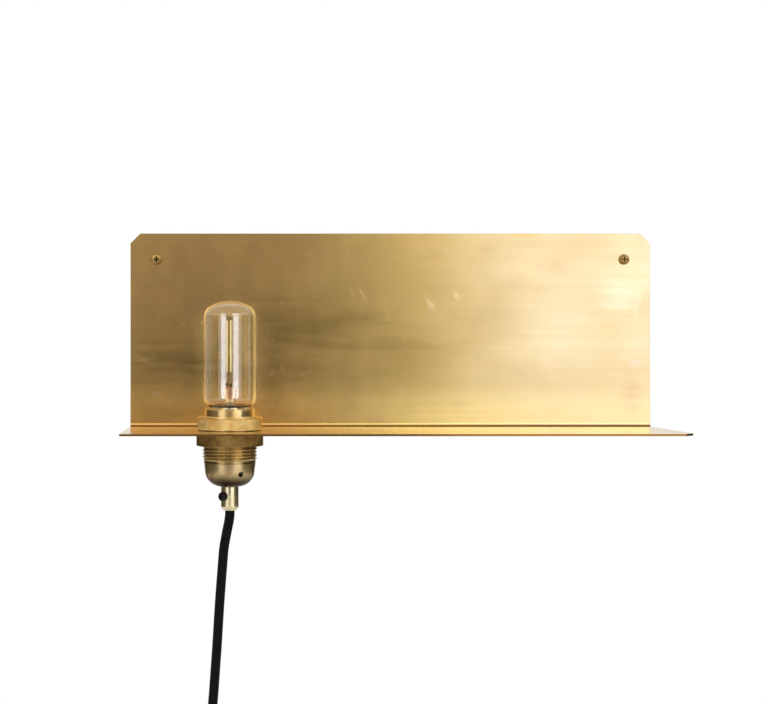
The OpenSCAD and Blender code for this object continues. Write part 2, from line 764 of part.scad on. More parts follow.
// The bulb's screw cap: a thin shell with round ridges.
module bulb_screw_cap() {
    ridge_r = 0.9;
    wall = 0.35;
    at_lamp() color(steel) difference() {
        union() {
            translate([0, 0, cap_thread_z - 1.6]) cylinder(r = cap_root_r, h = cap_top_z - cap_thread_z + 1.6);
            for (i = [0:cap_ridges - 1]) translate([0, 0, cap_thread_z + i * screw_cap_pitch])
                rotate_extrude() translate([screw_cap_d / 2 - ridge_r, 0]) circle(r = ridge_r, $fn = 24);
            translate([0, 0, stem_foot_z - 1]) cylinder(r = bulb_neck_r + 0.5, h = cap_top_z - stem_foot_z + 1);
        }
        translate([0, 0, cap_thread_z - 3]) cylinder(r = cap_root_r - wall, h = cap_top_z - cap_thread_z + 1);
        translate([0, 0, stem_foot_z - 0.5]) cylinder(r = bulb_neck_r + 0.05, h = cap_top_z);
    }
}

// The dark glass between the cap's shell and its centre contact.
module bulb_cap_glass() {
    at_lamp() color("#22201f") translate([0, 0, cap_tip_z + 1]) difference() {
        cylinder(r1 = 5.6, r2 = cap_root_r - 0.4, h = 3.9);
        translate([0, 0, 1.4]) cylinder(r1 = 4.4, r2 = cap_root_r - 1.6, h = 3.9);
        translate([0, 0, -1]) cylinder(r = 1.2, h = 4);
    }
}

module bulb_centre_contact() {
    at_lamp() color(brass) translate([0, 0, cap_tip_z]) cylinder(r1 = 3.6, r2 = 4.6, h = 1);
}

// The small driver board in the bulb's cap, with two parts on it.
module bulb_driver() {
    board_z = cap_thread_z + 0.6;
    at_lamp() {
        color("#2f6b45") translate([-8, -0.8, board_z]) cube([16, 1.6, 12]);
        color("#26262a") {
            translate([-4, 0.8, board_z + 6]) rotate([-90, 0, 0]) cylinder(r = 3.4, h = 5);
            translate([2.5, 0.8, board_z + 3]) cube([4, 3, 6]);
        }
    }
}

module cord_upper() at_lamp() color(black_cord) tube(moved(upper_route, [0, 0, grip_end_z]), cord_r, 8);

module cord_lower() at_lamp() color(black_cord) tube(moved(lower_route, switch_end), cord_r, 8);

module cord_coil() at_lamp() color(black_cord) tube(coil_route, cord_r, coil_sides);

// A rectangle with round corners.
module rounded(w, h, r) {
    for (x = [-1, 1]) for (y = [-1, 1]) translate([x * (w / 2 - r), y * (h / 2 - r)]) circle(r = r);
    square([w, h - 2 * r], center = true);
    square([w - 2 * r, h], center = true);
}

// A band round all turns of the coil, just past the place where the cord joins it.
module cord_tie() {
    inner_x = tie_outer_r - tie_inner_r;
    inner_y = (coil_layers - 1) * coil_pitch_y + cord_d + 2 * touch;
    at_lamp() color("#26252a") translate([coil_x, coil_mid_y, coil_z]) rotate([0, tie_turn - 90, 0])
        translate([(tie_inner_r + tie_outer_r) / 2, 0, -tie_w / 2]) linear_extrude(tie_w) difference() {
            rounded(inner_x + 2 * tie_t, inner_y + 2 * tie_t, 3);
            rounded(inner_x, inner_y, 3 - tie_t);
        }
}

// A slab of the switch's outline between two depths, with the rocker side at -Y.
module switch_slab(shrink, from, to) {
    translate([0, to, 0]) rotate([90, 0, 0]) linear_extrude(to - from)
        rounded(switch_w - 2 * shrink, switch_l - 2 * shrink, switch_corner_r - shrink);
}

module switch_port() translate([0, 0, -switch_l]) cylinder(r = port_r, h = 2 * switch_l);

module switch_posts(from, to, r) {
    for (side = [-1, 1]) translate([side * switch_screw_x, to, -side * switch_screw_z])
        rotate([90, 0, 0]) cylinder(r = r, h = to - from);
}

module switch_back_shell() {
    at_switch() color(black_plastic) difference() {
        union() {
            difference() {
                switch_slab(0, 0, switch_t / 2);
                switch_slab(shell_t, -1, switch_t / 2 - shell_t);
            }
            switch_posts(0, switch_t / 2 - 0.5, 3.2);
        }
        switch_port();
        switch_posts(-1, switch_t, m3_r + touch);
        switch_posts(switch_t / 2 - m3_head_h - 0.4, switch_t, m3_head_r + touch);
    }
}

module switch_front_shell() {
    at_switch() color(black_plastic) difference() {
        union() {
            difference() {
                switch_slab(0, -switch_t / 2, 0);
                switch_slab(shell_t, -switch_t / 2 + shell_t, 1);
            }
            switch_posts(-switch_t / 2 + 0.5, 0, 3.2);
            for (side = [-1, 1]) translate([side * (rocker_w / 2 + moving + 1) - 1, -switch_t / 2 + 0.5, -4])
                cube([2, 6, 8]);
        }
        switch_port();
        switch_posts(-4, 1, m3_r + touch);
        translate([-window_w / 2, -switch_t, -window_l / 2]) cube([window_w, switch_t + 1, window_l]);
        translate([-rocker_w / 2 - axle_reach - moving, axle_y, 0]) rotate([0, 90, 0])
            cylinder(r = axle_r + 0.05, h = rocker_w + 2 * (axle_reach + moving));
    }
}

// The rocker lies on its off side: its lower half is pressed in.
module switch_rocker() {
    half = rocker_l / 2;
    rise = 1.6;
    at_switch() color("#2a2a2c") translate([0, axle_y, 0]) rotate([rocker_swing / 2, 0, 0]) {
        translate([-rocker_w / 2, 0, 0]) rotate([90, 0, 90]) linear_extrude(rocker_w) polygon([
            [-3.4, 0], [-3.4 - rise, half], [-1.6, half], [1, 4], [1.6, 0], [1, -4], [-1.6, -half],
            [-3.4 - rise, -half],
        ]);
        translate([-rocker_w / 2 - axle_reach, 0, 0]) rotate([0, 90, 0])
            cylinder(r = axle_r, h = rocker_w + 2 * axle_reach);
    }
}

// Two contacts, one at each end of the rocker, beside the cord's path.
module switch_contacts() {
    at_switch() color(brass) for (side = [-1, 1]) translate([side * contact_x, -1.4, side * contact_z])
        difference() {
            cube([5, 6, 6], center = true);
            translate([0, 0, side * 3 - 2]) cylinder(r = core_r + touch, h = 4);
        }
}

// The three cores between the cord's two ends. The switch breaks the live one.
module switch_cores() {
    half = switch_l / 2;
    at_switch() {
        color("#2f5f9a") translate([-1.6, 1.2, -half]) cylinder(r = core_r, h = switch_l);
        color("#8aa63a") translate([1.6, 1.2, -half]) cylinder(r = core_r, h = switch_l);
        color("#7a4a2a") for (turn = [0, 180]) rotate([0, turn, 0]) tube([
            [0, -2, half], [0, -2, half - 2], [1, -2, half - 4.5], [4.2, -1.8, half - 7.5],
            [7, -1.6, half - 10], [contact_x, -1.4, contact_z + 4.4], [contact_x, -1.4, contact_z + 3],
        ], core_r, 8);
    }
}

module switch_screws() {
    at_switch() color(steel) for (side = [-1, 1])
        translate([side * switch_screw_x, switch_t / 2 - m3_head_h - 0.3, -side * switch_screw_z])
            rotate([-90, 0, 0]) small_screw(switch_t / 2 + 0.5);
}

// The moulded plug: a round face, a waist for the fingers, and grooves for its earth clips.
module plug_body() {
    at_plug() color(black_plastic) difference() {
        translate([0, 0, plug_face_z]) rotate_extrude() polygon([
            [0, 0], [plug_r - 1, 0], [plug_r, 1], [plug_r, 9], [plug_r - 1.5, 12], [plug_waist_r + 1.5, 16],
            [plug_waist_r, 19], [plug_waist_r, plug_l - 8], [plug_waist_r - 1.6, plug_l - 3.5],
            [sleeve_end_r + 0.5, plug_l], [0, plug_l],
        ]);
        for (side = [-1, 1]) {
            translate([side * pin_gap / 2, 0, plug_face_z - 1]) cylinder(r = pin_core_r + touch, h = 13);
            translate([-clip_w / 2 - touch, side * (plug_r - 1) - 1.5, plug_face_z - 1])
                cube([clip_w + 2 * touch, 3, 13]);
        }
        translate([0, plug_r / 2, plug_face_z - 1]) cylinder(r = 2.6, h = 12);
    }
}

module plug_pins() {
    at_plug() color("#c9c4b4") for (side = [-1, 1]) translate([side * pin_gap / 2, 0, plug_face_z]) {
        translate([0, 0, -pin_l]) rotate_extrude()
            polygon(concat([[0, 0]], arc(pin_d / 2 - 1, 1, 1, -90, 0, 5), [[pin_d / 2, pin_l], [0, pin_l]]));
        cylinder(r = pin_core_r, h = 11);
    }
}

// The earth clips lie in grooves on the plug's two sides, flush with its edge.
module plug_earth_clips() {
    at_plug() color("#c9c4b4") for (side = [-1, 1])
        translate([-clip_w / 2, side * (plug_r - 2) - clip_t / 2, plug_face_z]) cube([clip_w, clip_t, 11]);
}

// The tapered sleeve that keeps the cord from kinking where it enters the plug.
module plug_sleeve() {
    at_plug() color(black_plastic) difference() {
        translate([0, 0, plug_top_z]) cylinder(r1 = sleeve_end_r, r2 = sleeve_top_r, h = sleeve_l);
        for (i = [1:4]) translate([0, 0, plug_top_z + i * sleeve_l / 5]) rotate_extrude()
            translate([sleeve_top_r + (sleeve_end_r - sleeve_top_r) * (1 - i / 5) - 0.7, 0]) square([3, 1.4]);
    }
}

shelf_bracket();
wall_screws();
upper_shade_ring();
lower_shade_ring();
lampholder_skirt();
lampholder_cap();
porcelain_insert();
screw_shell();
centre_contact();
terminal_blocks();
terminal_screws();
earth_strap();
insert_screws();
earth_screw();
entry_nut();
cord_grip();
grip_set_screw();
cord_end_in_grip();
live_core();
neutral_core();
earth_core();
bulb_glass();
bulb_stem();
bulb_wires();
bulb_filaments();
bulb_screw_cap();
bulb_cap_glass();
bulb_centre_contact();
bulb_driver();
cord_upper();
switch_back_shell();
switch_front_shell();
switch_rocker();
switch_contacts();
switch_cores();
switch_screws();
cord_lower();
cord_coil();
cord_tie();
plug_body();
plug_pins();
plug_earth_clips();
plug_sleeve();
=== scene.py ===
"""A wall lamp whose bent brass sheet is also a small shelf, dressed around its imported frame.

Metres throughout. X runs along the wall, +Y into the wall, +Z up, and the origin is midway
between the two wall screws on the wall's surface.
"""

import logging
import math
from collections.abc import Mapping, Sequence
from dataclasses import dataclass
from enum import Enum

import bmesh
import bpy
import numpy as np
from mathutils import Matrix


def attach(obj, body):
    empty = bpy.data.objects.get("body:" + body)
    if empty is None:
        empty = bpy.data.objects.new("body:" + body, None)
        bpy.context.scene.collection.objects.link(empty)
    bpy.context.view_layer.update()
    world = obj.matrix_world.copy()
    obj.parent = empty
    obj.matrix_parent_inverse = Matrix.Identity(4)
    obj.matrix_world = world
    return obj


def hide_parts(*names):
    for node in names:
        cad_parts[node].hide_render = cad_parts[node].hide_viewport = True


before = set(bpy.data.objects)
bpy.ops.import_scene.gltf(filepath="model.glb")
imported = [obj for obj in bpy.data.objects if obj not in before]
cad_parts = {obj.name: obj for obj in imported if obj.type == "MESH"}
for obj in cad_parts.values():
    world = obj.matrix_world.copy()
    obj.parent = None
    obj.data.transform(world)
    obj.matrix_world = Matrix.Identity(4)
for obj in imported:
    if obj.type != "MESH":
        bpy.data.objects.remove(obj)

LOG = logging.getLogger("wall_lamp")
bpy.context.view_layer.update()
MM = 0.001
WHITE = "#FFFFFF"
Piece = bpy.types.Object
Material = bpy.types.Material
Tree = bpy.types.NodeTree
Socket = bpy.types.NodeSocket
Colour = Socket | str


class Body(Enum):
    """The moving bodies of the lamp."""

    WALL = "wall_bracket"
    UPPER_RING = "upper_ring"
    LOWER_RING = "lower_ring"
    GRIP_SCREW = "grip_screw"
    BULB = "bulb"
    ROCKER = "rocker"


# --------------------------------------------------------------------------- meshes


def smooth_step(t: np.ndarray) -> np.ndarray:
    """Eases 0 to 1 with level ends: 3t squared minus 2t cubed.

    Args:
        t: Positions, clipped to 0..1.

    Returns:
        The eased values.
    """
    t = np.clip(t, 0.0, 1.0)
    return t * t * (3.0 - 2.0 * t)


def link(name: str, data: bpy.types.ID) -> Piece:
    """Puts a new object into the scene.

    Args:
        name: The object's name.
        data: Its mesh, light or camera.

    Returns:
        The object.
    """
    obj = bpy.data.objects.new(name, data)
    bpy.context.scene.collection.objects.link(obj)
    return obj


def new_piece(name: str, verts: np.ndarray, faces: np.ndarray, uv: np.ndarray | None = None) -> Piece:
    """Makes a mesh object at the origin from whole arrays.

    Args:
        name: The piece's name.
        verts: Points, n by 3, in metres.
        faces: Quads, m by 4, as vertex numbers.
        uv: One pair for each face corner, or None.

    Returns:
        The linked object, with doubles merged and faces pointing outwards.
    """
    mesh = bpy.data.meshes.new(name)
    mesh.from_pydata(verts.tolist(), [], faces.tolist())
    if uv is not None:
        mesh.uv_layers.new(name="UVMap").data.foreach_set("uv", uv.astype(np.float32).ravel())
    tidy = bmesh.new()
    tidy.from_mesh(mesh)
    bmesh.ops.remove_doubles(tidy, verts=tidy.verts, dist=1e-7)
    bmesh.ops.dissolve_degenerate(tidy, edges=tidy.edges, dist=1e-8)
    bmesh.ops.recalc_face_normals(tidy, faces=tidy.faces)
    tidy.to_mesh(mesh)
    tidy.free()
    obj = link(name, mesh)
    shade(obj)
    return obj


def shade(obj: Piece, angle: float = 32.0) -> None:
    """Shades a piece smooth with sharp edges above an angle in degrees."""
    obj.data.shade_smooth()
    obj.data.set_sharp_from_angle(angle=math.radians(angle))


def sheet_of(name: str, points: np.ndarray, rows_close: bool, cols_close: bool,
             uv: np.ndarray | None = None) -> Piece:
    """Joins a grid of points into quads.

    Args:
        name: The piece's name.
        points: Rows by columns by 3.
        rows_close: Whether the last row joins the first.
        cols_close: Whether the last column joins the first.
        uv: Rows + 1 by columns + 1 by 2 where both wrap on, or None.

    Returns:
        The new piece.
    """
    rows, cols = points.shape[:2]
    i, j = np.meshgrid(np.arange(rows - (not rows_close)), np.arange(cols - (not cols_close)), indexing="ij")
    near, far = (i + 1) % rows, (j + 1) % cols
    faces = np.stack([i * cols + j, i * cols + far, near * cols + far, near * cols + j], -1).reshape(-1, 4)
    corners = None
    if uv is not None:
        corners = np.stack([uv[i, j], uv[i, j + 1], uv[i + 1, j + 1], uv[i + 1, j]], 2).reshape(-1, 2)
    return new_piece(name, points.reshape(-1, 3), faces, corners)


def rounded_profile(corners: Sequence[tuple[float, float, float]], closed: bool = False,
                    steps: int = 4) -> np.ndarray:
    """Rounds an outline's corners: each becomes a quadratic curve between two points set back along its sides.

    Args:
        corners: Radius, height and set-back of each corner, in millimetres.
        closed: Whether the outline returns to its start.
        steps: Points on each rounded corner, less one.

    Returns:
        The outline's radius and height, in metres.
    """
    p = np.array(corners, float)
    before, after = np.roll(p, 1, 0), np.roll(p, -1, 0)
    t = np.linspace(0.0, 1.0, steps + 1)[None, :, None]
    back = before[:, :2] - p[:, :2]
    ahead = after[:, :2] - p[:, :2]
    size = [np.linalg.norm(v, axis=1, keepdims=True) + 1e-9 for v in (back, ahead)]
    cut = np.minimum(p[:, 2:3], 0.49 * np.minimum(*size))
    a = (p[:, :2] + back / size[0] * cut)[:, None]
    b = (p[:, :2] + ahead / size[1] * cut)[:, None]
    c = p[:, :2][:, None]
    curve = (1 - t) ** 2 * a + 2 * t * (1 - t) * c + t**2 * b
    if not closed:
        curve[0], curve[-1] = p[0, :2], p[-1, :2]
    flat = curve.reshape(-1, 2)
    keep = np.append(True, np.linalg.norm(np.diff(flat, axis=0), axis=1) > 1e-6)
    return flat[keep] * MM


@dataclass(frozen=True)
class Axis:
    """An upright axis that turned pieces are made round."""

    x: float
    y: float
    z: float

    def swing(self, loop: np.ndarray, a: np.ndarray) -> np.ndarray:
        """Swings an outline's radii and heights round the axis by angles: x = r cos a, y = r sin a."""
        r, z = loop[..., 0], loop[..., 1]
        return np.stack([self.x + r * np.cos(a), self.y + r * np.sin(a), self.z + z + 0 * a], -1)

    def revolve(self, name: str, profile: np.ndarray, closed: bool = False, segments: int = 96) -> Piece:
        """Turns a profile round the axis.

        Args:
            name: The piece's name.
            profile: Radius and height over the axis's zero, in metres.
            closed: Whether the profile is a closed loop.
            segments: Steps round the axis.

        Returns:
            The new piece.
        """
        a = np.linspace(0.0, 2 * np.pi, segments, endpoint=False)
        return sheet_of(name, self.swing(profile[:, None], a), closed, True)

    def band(self, name: str, radii: np.ndarray, heights: np.ndarray, rest: np.ndarray) -> Piece:
        """Makes a ring with a worked band outside and a plain outline for its other sides.

        Args:
            name: The piece's name.
            radii: The band's radii, heights by angles, in millimetres.
            heights: The band's heights.
            rest: Radius and height of the other sides' points.

        Returns:
            The new piece.
        """
        a = np.linspace(0.0, 2 * np.pi, radii.shape[1], endpoint=False)
        worked = np.stack([radii, np.broadcast_to(heights[:, None], radii.shape)], -1)
        plain = np.broadcast_to(rest[:, None], (len(rest), len(a), 2))
        return sheet_of(name, self.swing(np.concatenate([worked, plain]) * MM, a), True, True)


def copy_of(node_name: str, name: str, bevel: float, segments: int = 2, angle: float = 38.0) -> Piece:
    """Copies a frame node's mesh, merges it, and softens its edges with a bevel.

    Args:
        node_name: The frame's node.
        name: The new piece's name.
        bevel: Width of the softened edge, in metres.
        segments: Steps across the softened edge.
        angle: Edges sharper than this many degrees are softened.

    Returns:
        The new piece, which stands for the node.
    """
    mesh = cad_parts[node_name].data.copy()
    mesh.name = name
    if mesh.has_custom_normals:
        mesh.attributes.remove(mesh.attributes["custom_normal"])
    work = bmesh.new()
    work.from_mesh(mesh)
    bmesh.ops.remove_doubles(work, verts=work.verts, dist=1e-6)
    bmesh.ops.dissolve_limit(work, angle_limit=math.radians(1.0), verts=work.verts, edges=work.edges)
    work.to_mesh(mesh)
    work.free()
    mesh.materials.clear()
    obj = link(name, mesh)
    soften = obj.modifiers.new("soft_edges", "BEVEL")
    soften.width = bevel
    soften.segments = segments
    soften.limit_method = "ANGLE"
    soften.angle_limit = math.radians(angle)
    soften.use_clamp_overlap = True
    soften.harden_normals = False
    shade(obj, 30.0)
    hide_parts(node_name)
    return obj


def cut_with(obj: Piece, cutter: Piece) -> None:
    """Cuts one closed piece out of another and removes the cutter."""
    knife = obj.modifiers.new("cut", "BOOLEAN")
    knife.operation = "DIFFERENCE"
    knife.solver = "EXACT"
    knife.object = cutter
    graph = bpy.context.evaluated_depsgraph_get()
    cut = bpy.data.meshes.new_from_object(obj.evaluated_get(graph))
    obj.modifiers.clear()
    obj.data = cut
    bpy.data.objects.remove(cutter)
    shade(obj)


def along(points: np.ndarray, per_span: int) -> np.ndarray:
    """Runs a smooth line through points: on each span a Catmull-Rom cubic through its four nearest points.

    Args:
        points: The chosen points, n by 3.
        per_span: Steps on each span.

    Returns:
        The line's points.
    """
    ends = np.concatenate([2 * points[:1] - points[1:2], points, 2 * points[-1:] - points[-2:-1]])
    a, b, c, d = (ends[k:len(ends) - 3 + k, None] for k in range(4))
    t = np.linspace(0.0, 1.0, per_span, endpoint=False)[None, :, None]
    line = 0.5 * (2 * b + (c - a) * t + (2 * a - 5 * b + 4 * c - d) * t**2 + (3 * b - a - 3 * c + d) * t**3)
    return np.concatenate([line.reshape(-1, 3), points[-1:]])


def tube(name: str, path: np.ndarray, radius: float, sides: int = 20) -> Piece:
    """Carries a circle along a path: each ring stands square to the path, turned from the wall's direction.

    Args:
        name: The piece's name.
        path: The centre line, n by 3.
        radius: The tube's radius.
        sides: Steps round the tube.

    Returns:
        A closed tube whose UV map has millimetres along it and one turn across it.
    """
    ahead = np.gradient(path, axis=0)
    ahead /= np.linalg.norm(ahead, axis=1, keepdims=True)
    side = np.cross([0.0, 1.0, 0.0], ahead)
    side /= np.linalg.norm(side, axis=1, keepdims=True)
    up = np.cross(ahead, side)
    a = np.linspace(0.0, 2 * np.pi, sides, endpoint=False)[None, :, None]
    points = path[:, None] + radius * (np.cos(a) * side[:, None] + np.sin(a) * up[:, None])
    points = np.concatenate([np.repeat(path[:1, None], sides, 1), points, np.repeat(path[-1:, None], sides, 1)])
    run = np.concatenate([[0.0], np.cumsum(np.linalg.norm(np.diff(path, axis=0), axis=1))]) / MM
    run = np.concatenate([run[:1], run, run[-1:]])
    uv = np.stack(np.meshgrid(run, np.linspace(0.0, 1.0, sides + 1), indexing="ij"), -1)
    return sheet_of(name, points, False, True, uv)


# --------------------------------------------------------------------------- finishes

NOISE_SPAN = (0.3, 0.7)


def linear(code: str) -> tuple[float, float, float, float]:
    """Turns an sRGB hex colour into linear light.

    Args:
        code: Six hex digits after a hash.

    Returns:
        Linear red, green and blue, and alpha 1.
    """
    parts = [int(code[k:k + 2], 16) / 255 for k in (1, 3, 5)]
    return (*(c / 12.92 if c <= 0.04045 else ((c + 0.055) / 1.055) ** 2.4 for c in parts), 1.0)


def feed(sockets: bpy.types.NodeInputs, values: Mapping[str | int, object]) -> None:
    """Fills a node's inputs: another node's output is linked, and anything else is the input's value.

    Args:
        sockets: The node's inputs.
        values: What goes in, by the input's name or number.
    """
    for key, value in values.items():
        if isinstance(value, Socket):
            value.id_data.links.new(value, sockets[key])
        else:
            sockets[key].default_value = value


def add(tree: Tree, kind: str, settings: Mapping[str, object],
        inputs: Mapping[str | int, object] | Sequence[object], out: str | int = 0) -> Socket:
    """Adds a node with its settings, values and links.

    Args:
        tree: The node tree.
        kind: The shader node's kind.
        settings: Properties to set.
        inputs: What goes in, by the input's name or number, or in the inputs' order.
        out: The wanted output's name or number.

    Returns:
        That output of the new node.
    """
    made = tree.nodes.new("ShaderNode" + kind)
    for key, value in settings.items():
        setattr(made, key, value)
    feed(made.inputs, inputs if isinstance(inputs, Mapping) else dict(enumerate(inputs)))
    return made.outputs[out]


def start(name: str) -> tuple[Material, Tree, bpy.types.NodeInputs]:
    """Starts a material.

    Args:
        name: The finish's name.

    Returns:
        The material, its tree and its surface shader's inputs.
    """
    made = bpy.data.materials.new(name)
    made.use_nodes = True
    return made, made.node_tree, made.node_tree.nodes["Principled BSDF"].inputs


def split(tree: Tree, coordinates: str) -> bpy.types.NodeOutputs:
    """Gives the three parts of a kind of coordinates."""
    where = add(tree, "TexCoord", {}, {}, coordinates)
    return add(tree, "SeparateXYZ", {}, (where,)).node.outputs


def calc(operation: str, first: Socket, *others: Socket | float) -> Socket:
    """Works one value out of others, such as their sum."""
    return add(first.id_data, "Math", {"operation": operation}, (first, *others))


def ease(field: Socket, low: float, high: float, first: float = 0.0, last: float = 1.0) -> Socket:
    """Goes from a first value to a last one, with level ends, as a field goes from low to high."""
    return add(field.id_data, "MapRange", {"interpolation_type": "SMOOTHSTEP"}, (field, low, high, first, last))


def bump(height: Socket, depth_mm: float) -> Socket:
    """Gives the normal of a surface with a height field of some depth."""
    return add(height.id_data, "Bump", {}, {"Height": height, "Distance": depth_mm * MM})


def mix(share: Socket, under: Colour, over: Colour) -> Socket:
    """Mixes two colours by the upper one's share."""
    pair = [linear(colour) if isinstance(colour, str) else colour for colour in (under, over)]
    return add(share.id_data, "Mix", {"data_type": "RGBA"}, {0: share, 6: pair[0], 7: pair[1]}, 2)


def layer(under: Colour, over: Colour, field: Socket, low: float, high: float, most: float = 1.0) -> Socket:
    """Lays one colour over another: its share eases from none to the most as a field goes from low to high."""
    return mix(ease(field, low, high, 0.0, most), under, over)


def noise(tree: Tree, size_mm: tuple[float, float, float], detail: float = 3.0, rough: float = 0.55) -> Socket:
    """Gives a noise field on the piece's own coordinates.

    Args:
        tree: The node tree.
        size_mm: Size of the patches along X, Y and Z, in millimetres.
        detail: Layers of finer noise.
        rough: Share that each finer layer keeps.

    Returns:
        The field's value, mostly within NOISE_SPAN.
    """
    where = add(tree, "TexCoord", {}, {}, "Object")
    scaled = add(tree, "Mapping", {}, {"Vector": where, "Scale": tuple(1000.0 / s for s in size_mm)})
    return add(tree, "TexNoise", {}, {"Vector": scaled, "Scale": 1.0, "Detail": detail, "Roughness": rough}, "Fac")


@dataclass(frozen=True)
class Mark:
    """A soft oval mark on the upright sheet: its centre, half sizes and lean in millimetres and degrees."""

    x: float
    z: float
    half_x: float
    half_z: float
    lean: float
    colour: str
    share: float

    def lay(self, tree: Tree, colour: Socket, ragged: Socket) -> Socket:
        """Lays the mark over a colour: the share falls from the centre to the oval's edge, which a noise frays.

        Args:
            tree: The node tree.
            colour: The colour under the mark.
            ragged: A noise field.

        Returns:
            The colour with the mark.
        """
        where = add(tree, "TexCoord", {}, {}, "Object")
        own = add(tree, "Mapping", {"vector_type": "TEXTURE"},
                  {"Vector": where, "Location": (self.x * MM, 0.0, self.z * MM),
                   "Rotation": (0.0, math.radians(self.lean), 0.0),
                   "Scale": (self.half_x * MM, 1.0, self.half_z * MM)})
        reach = add(tree, "VectorMath", {"operation": "LENGTH"}, (own,), "Value")
        reach = calc("ADD", reach, ease(ragged, *NOISE_SPAN, -0.25, 0.25))
        return layer(colour, self.colour, reach, 1.1, 0.0, self.share)


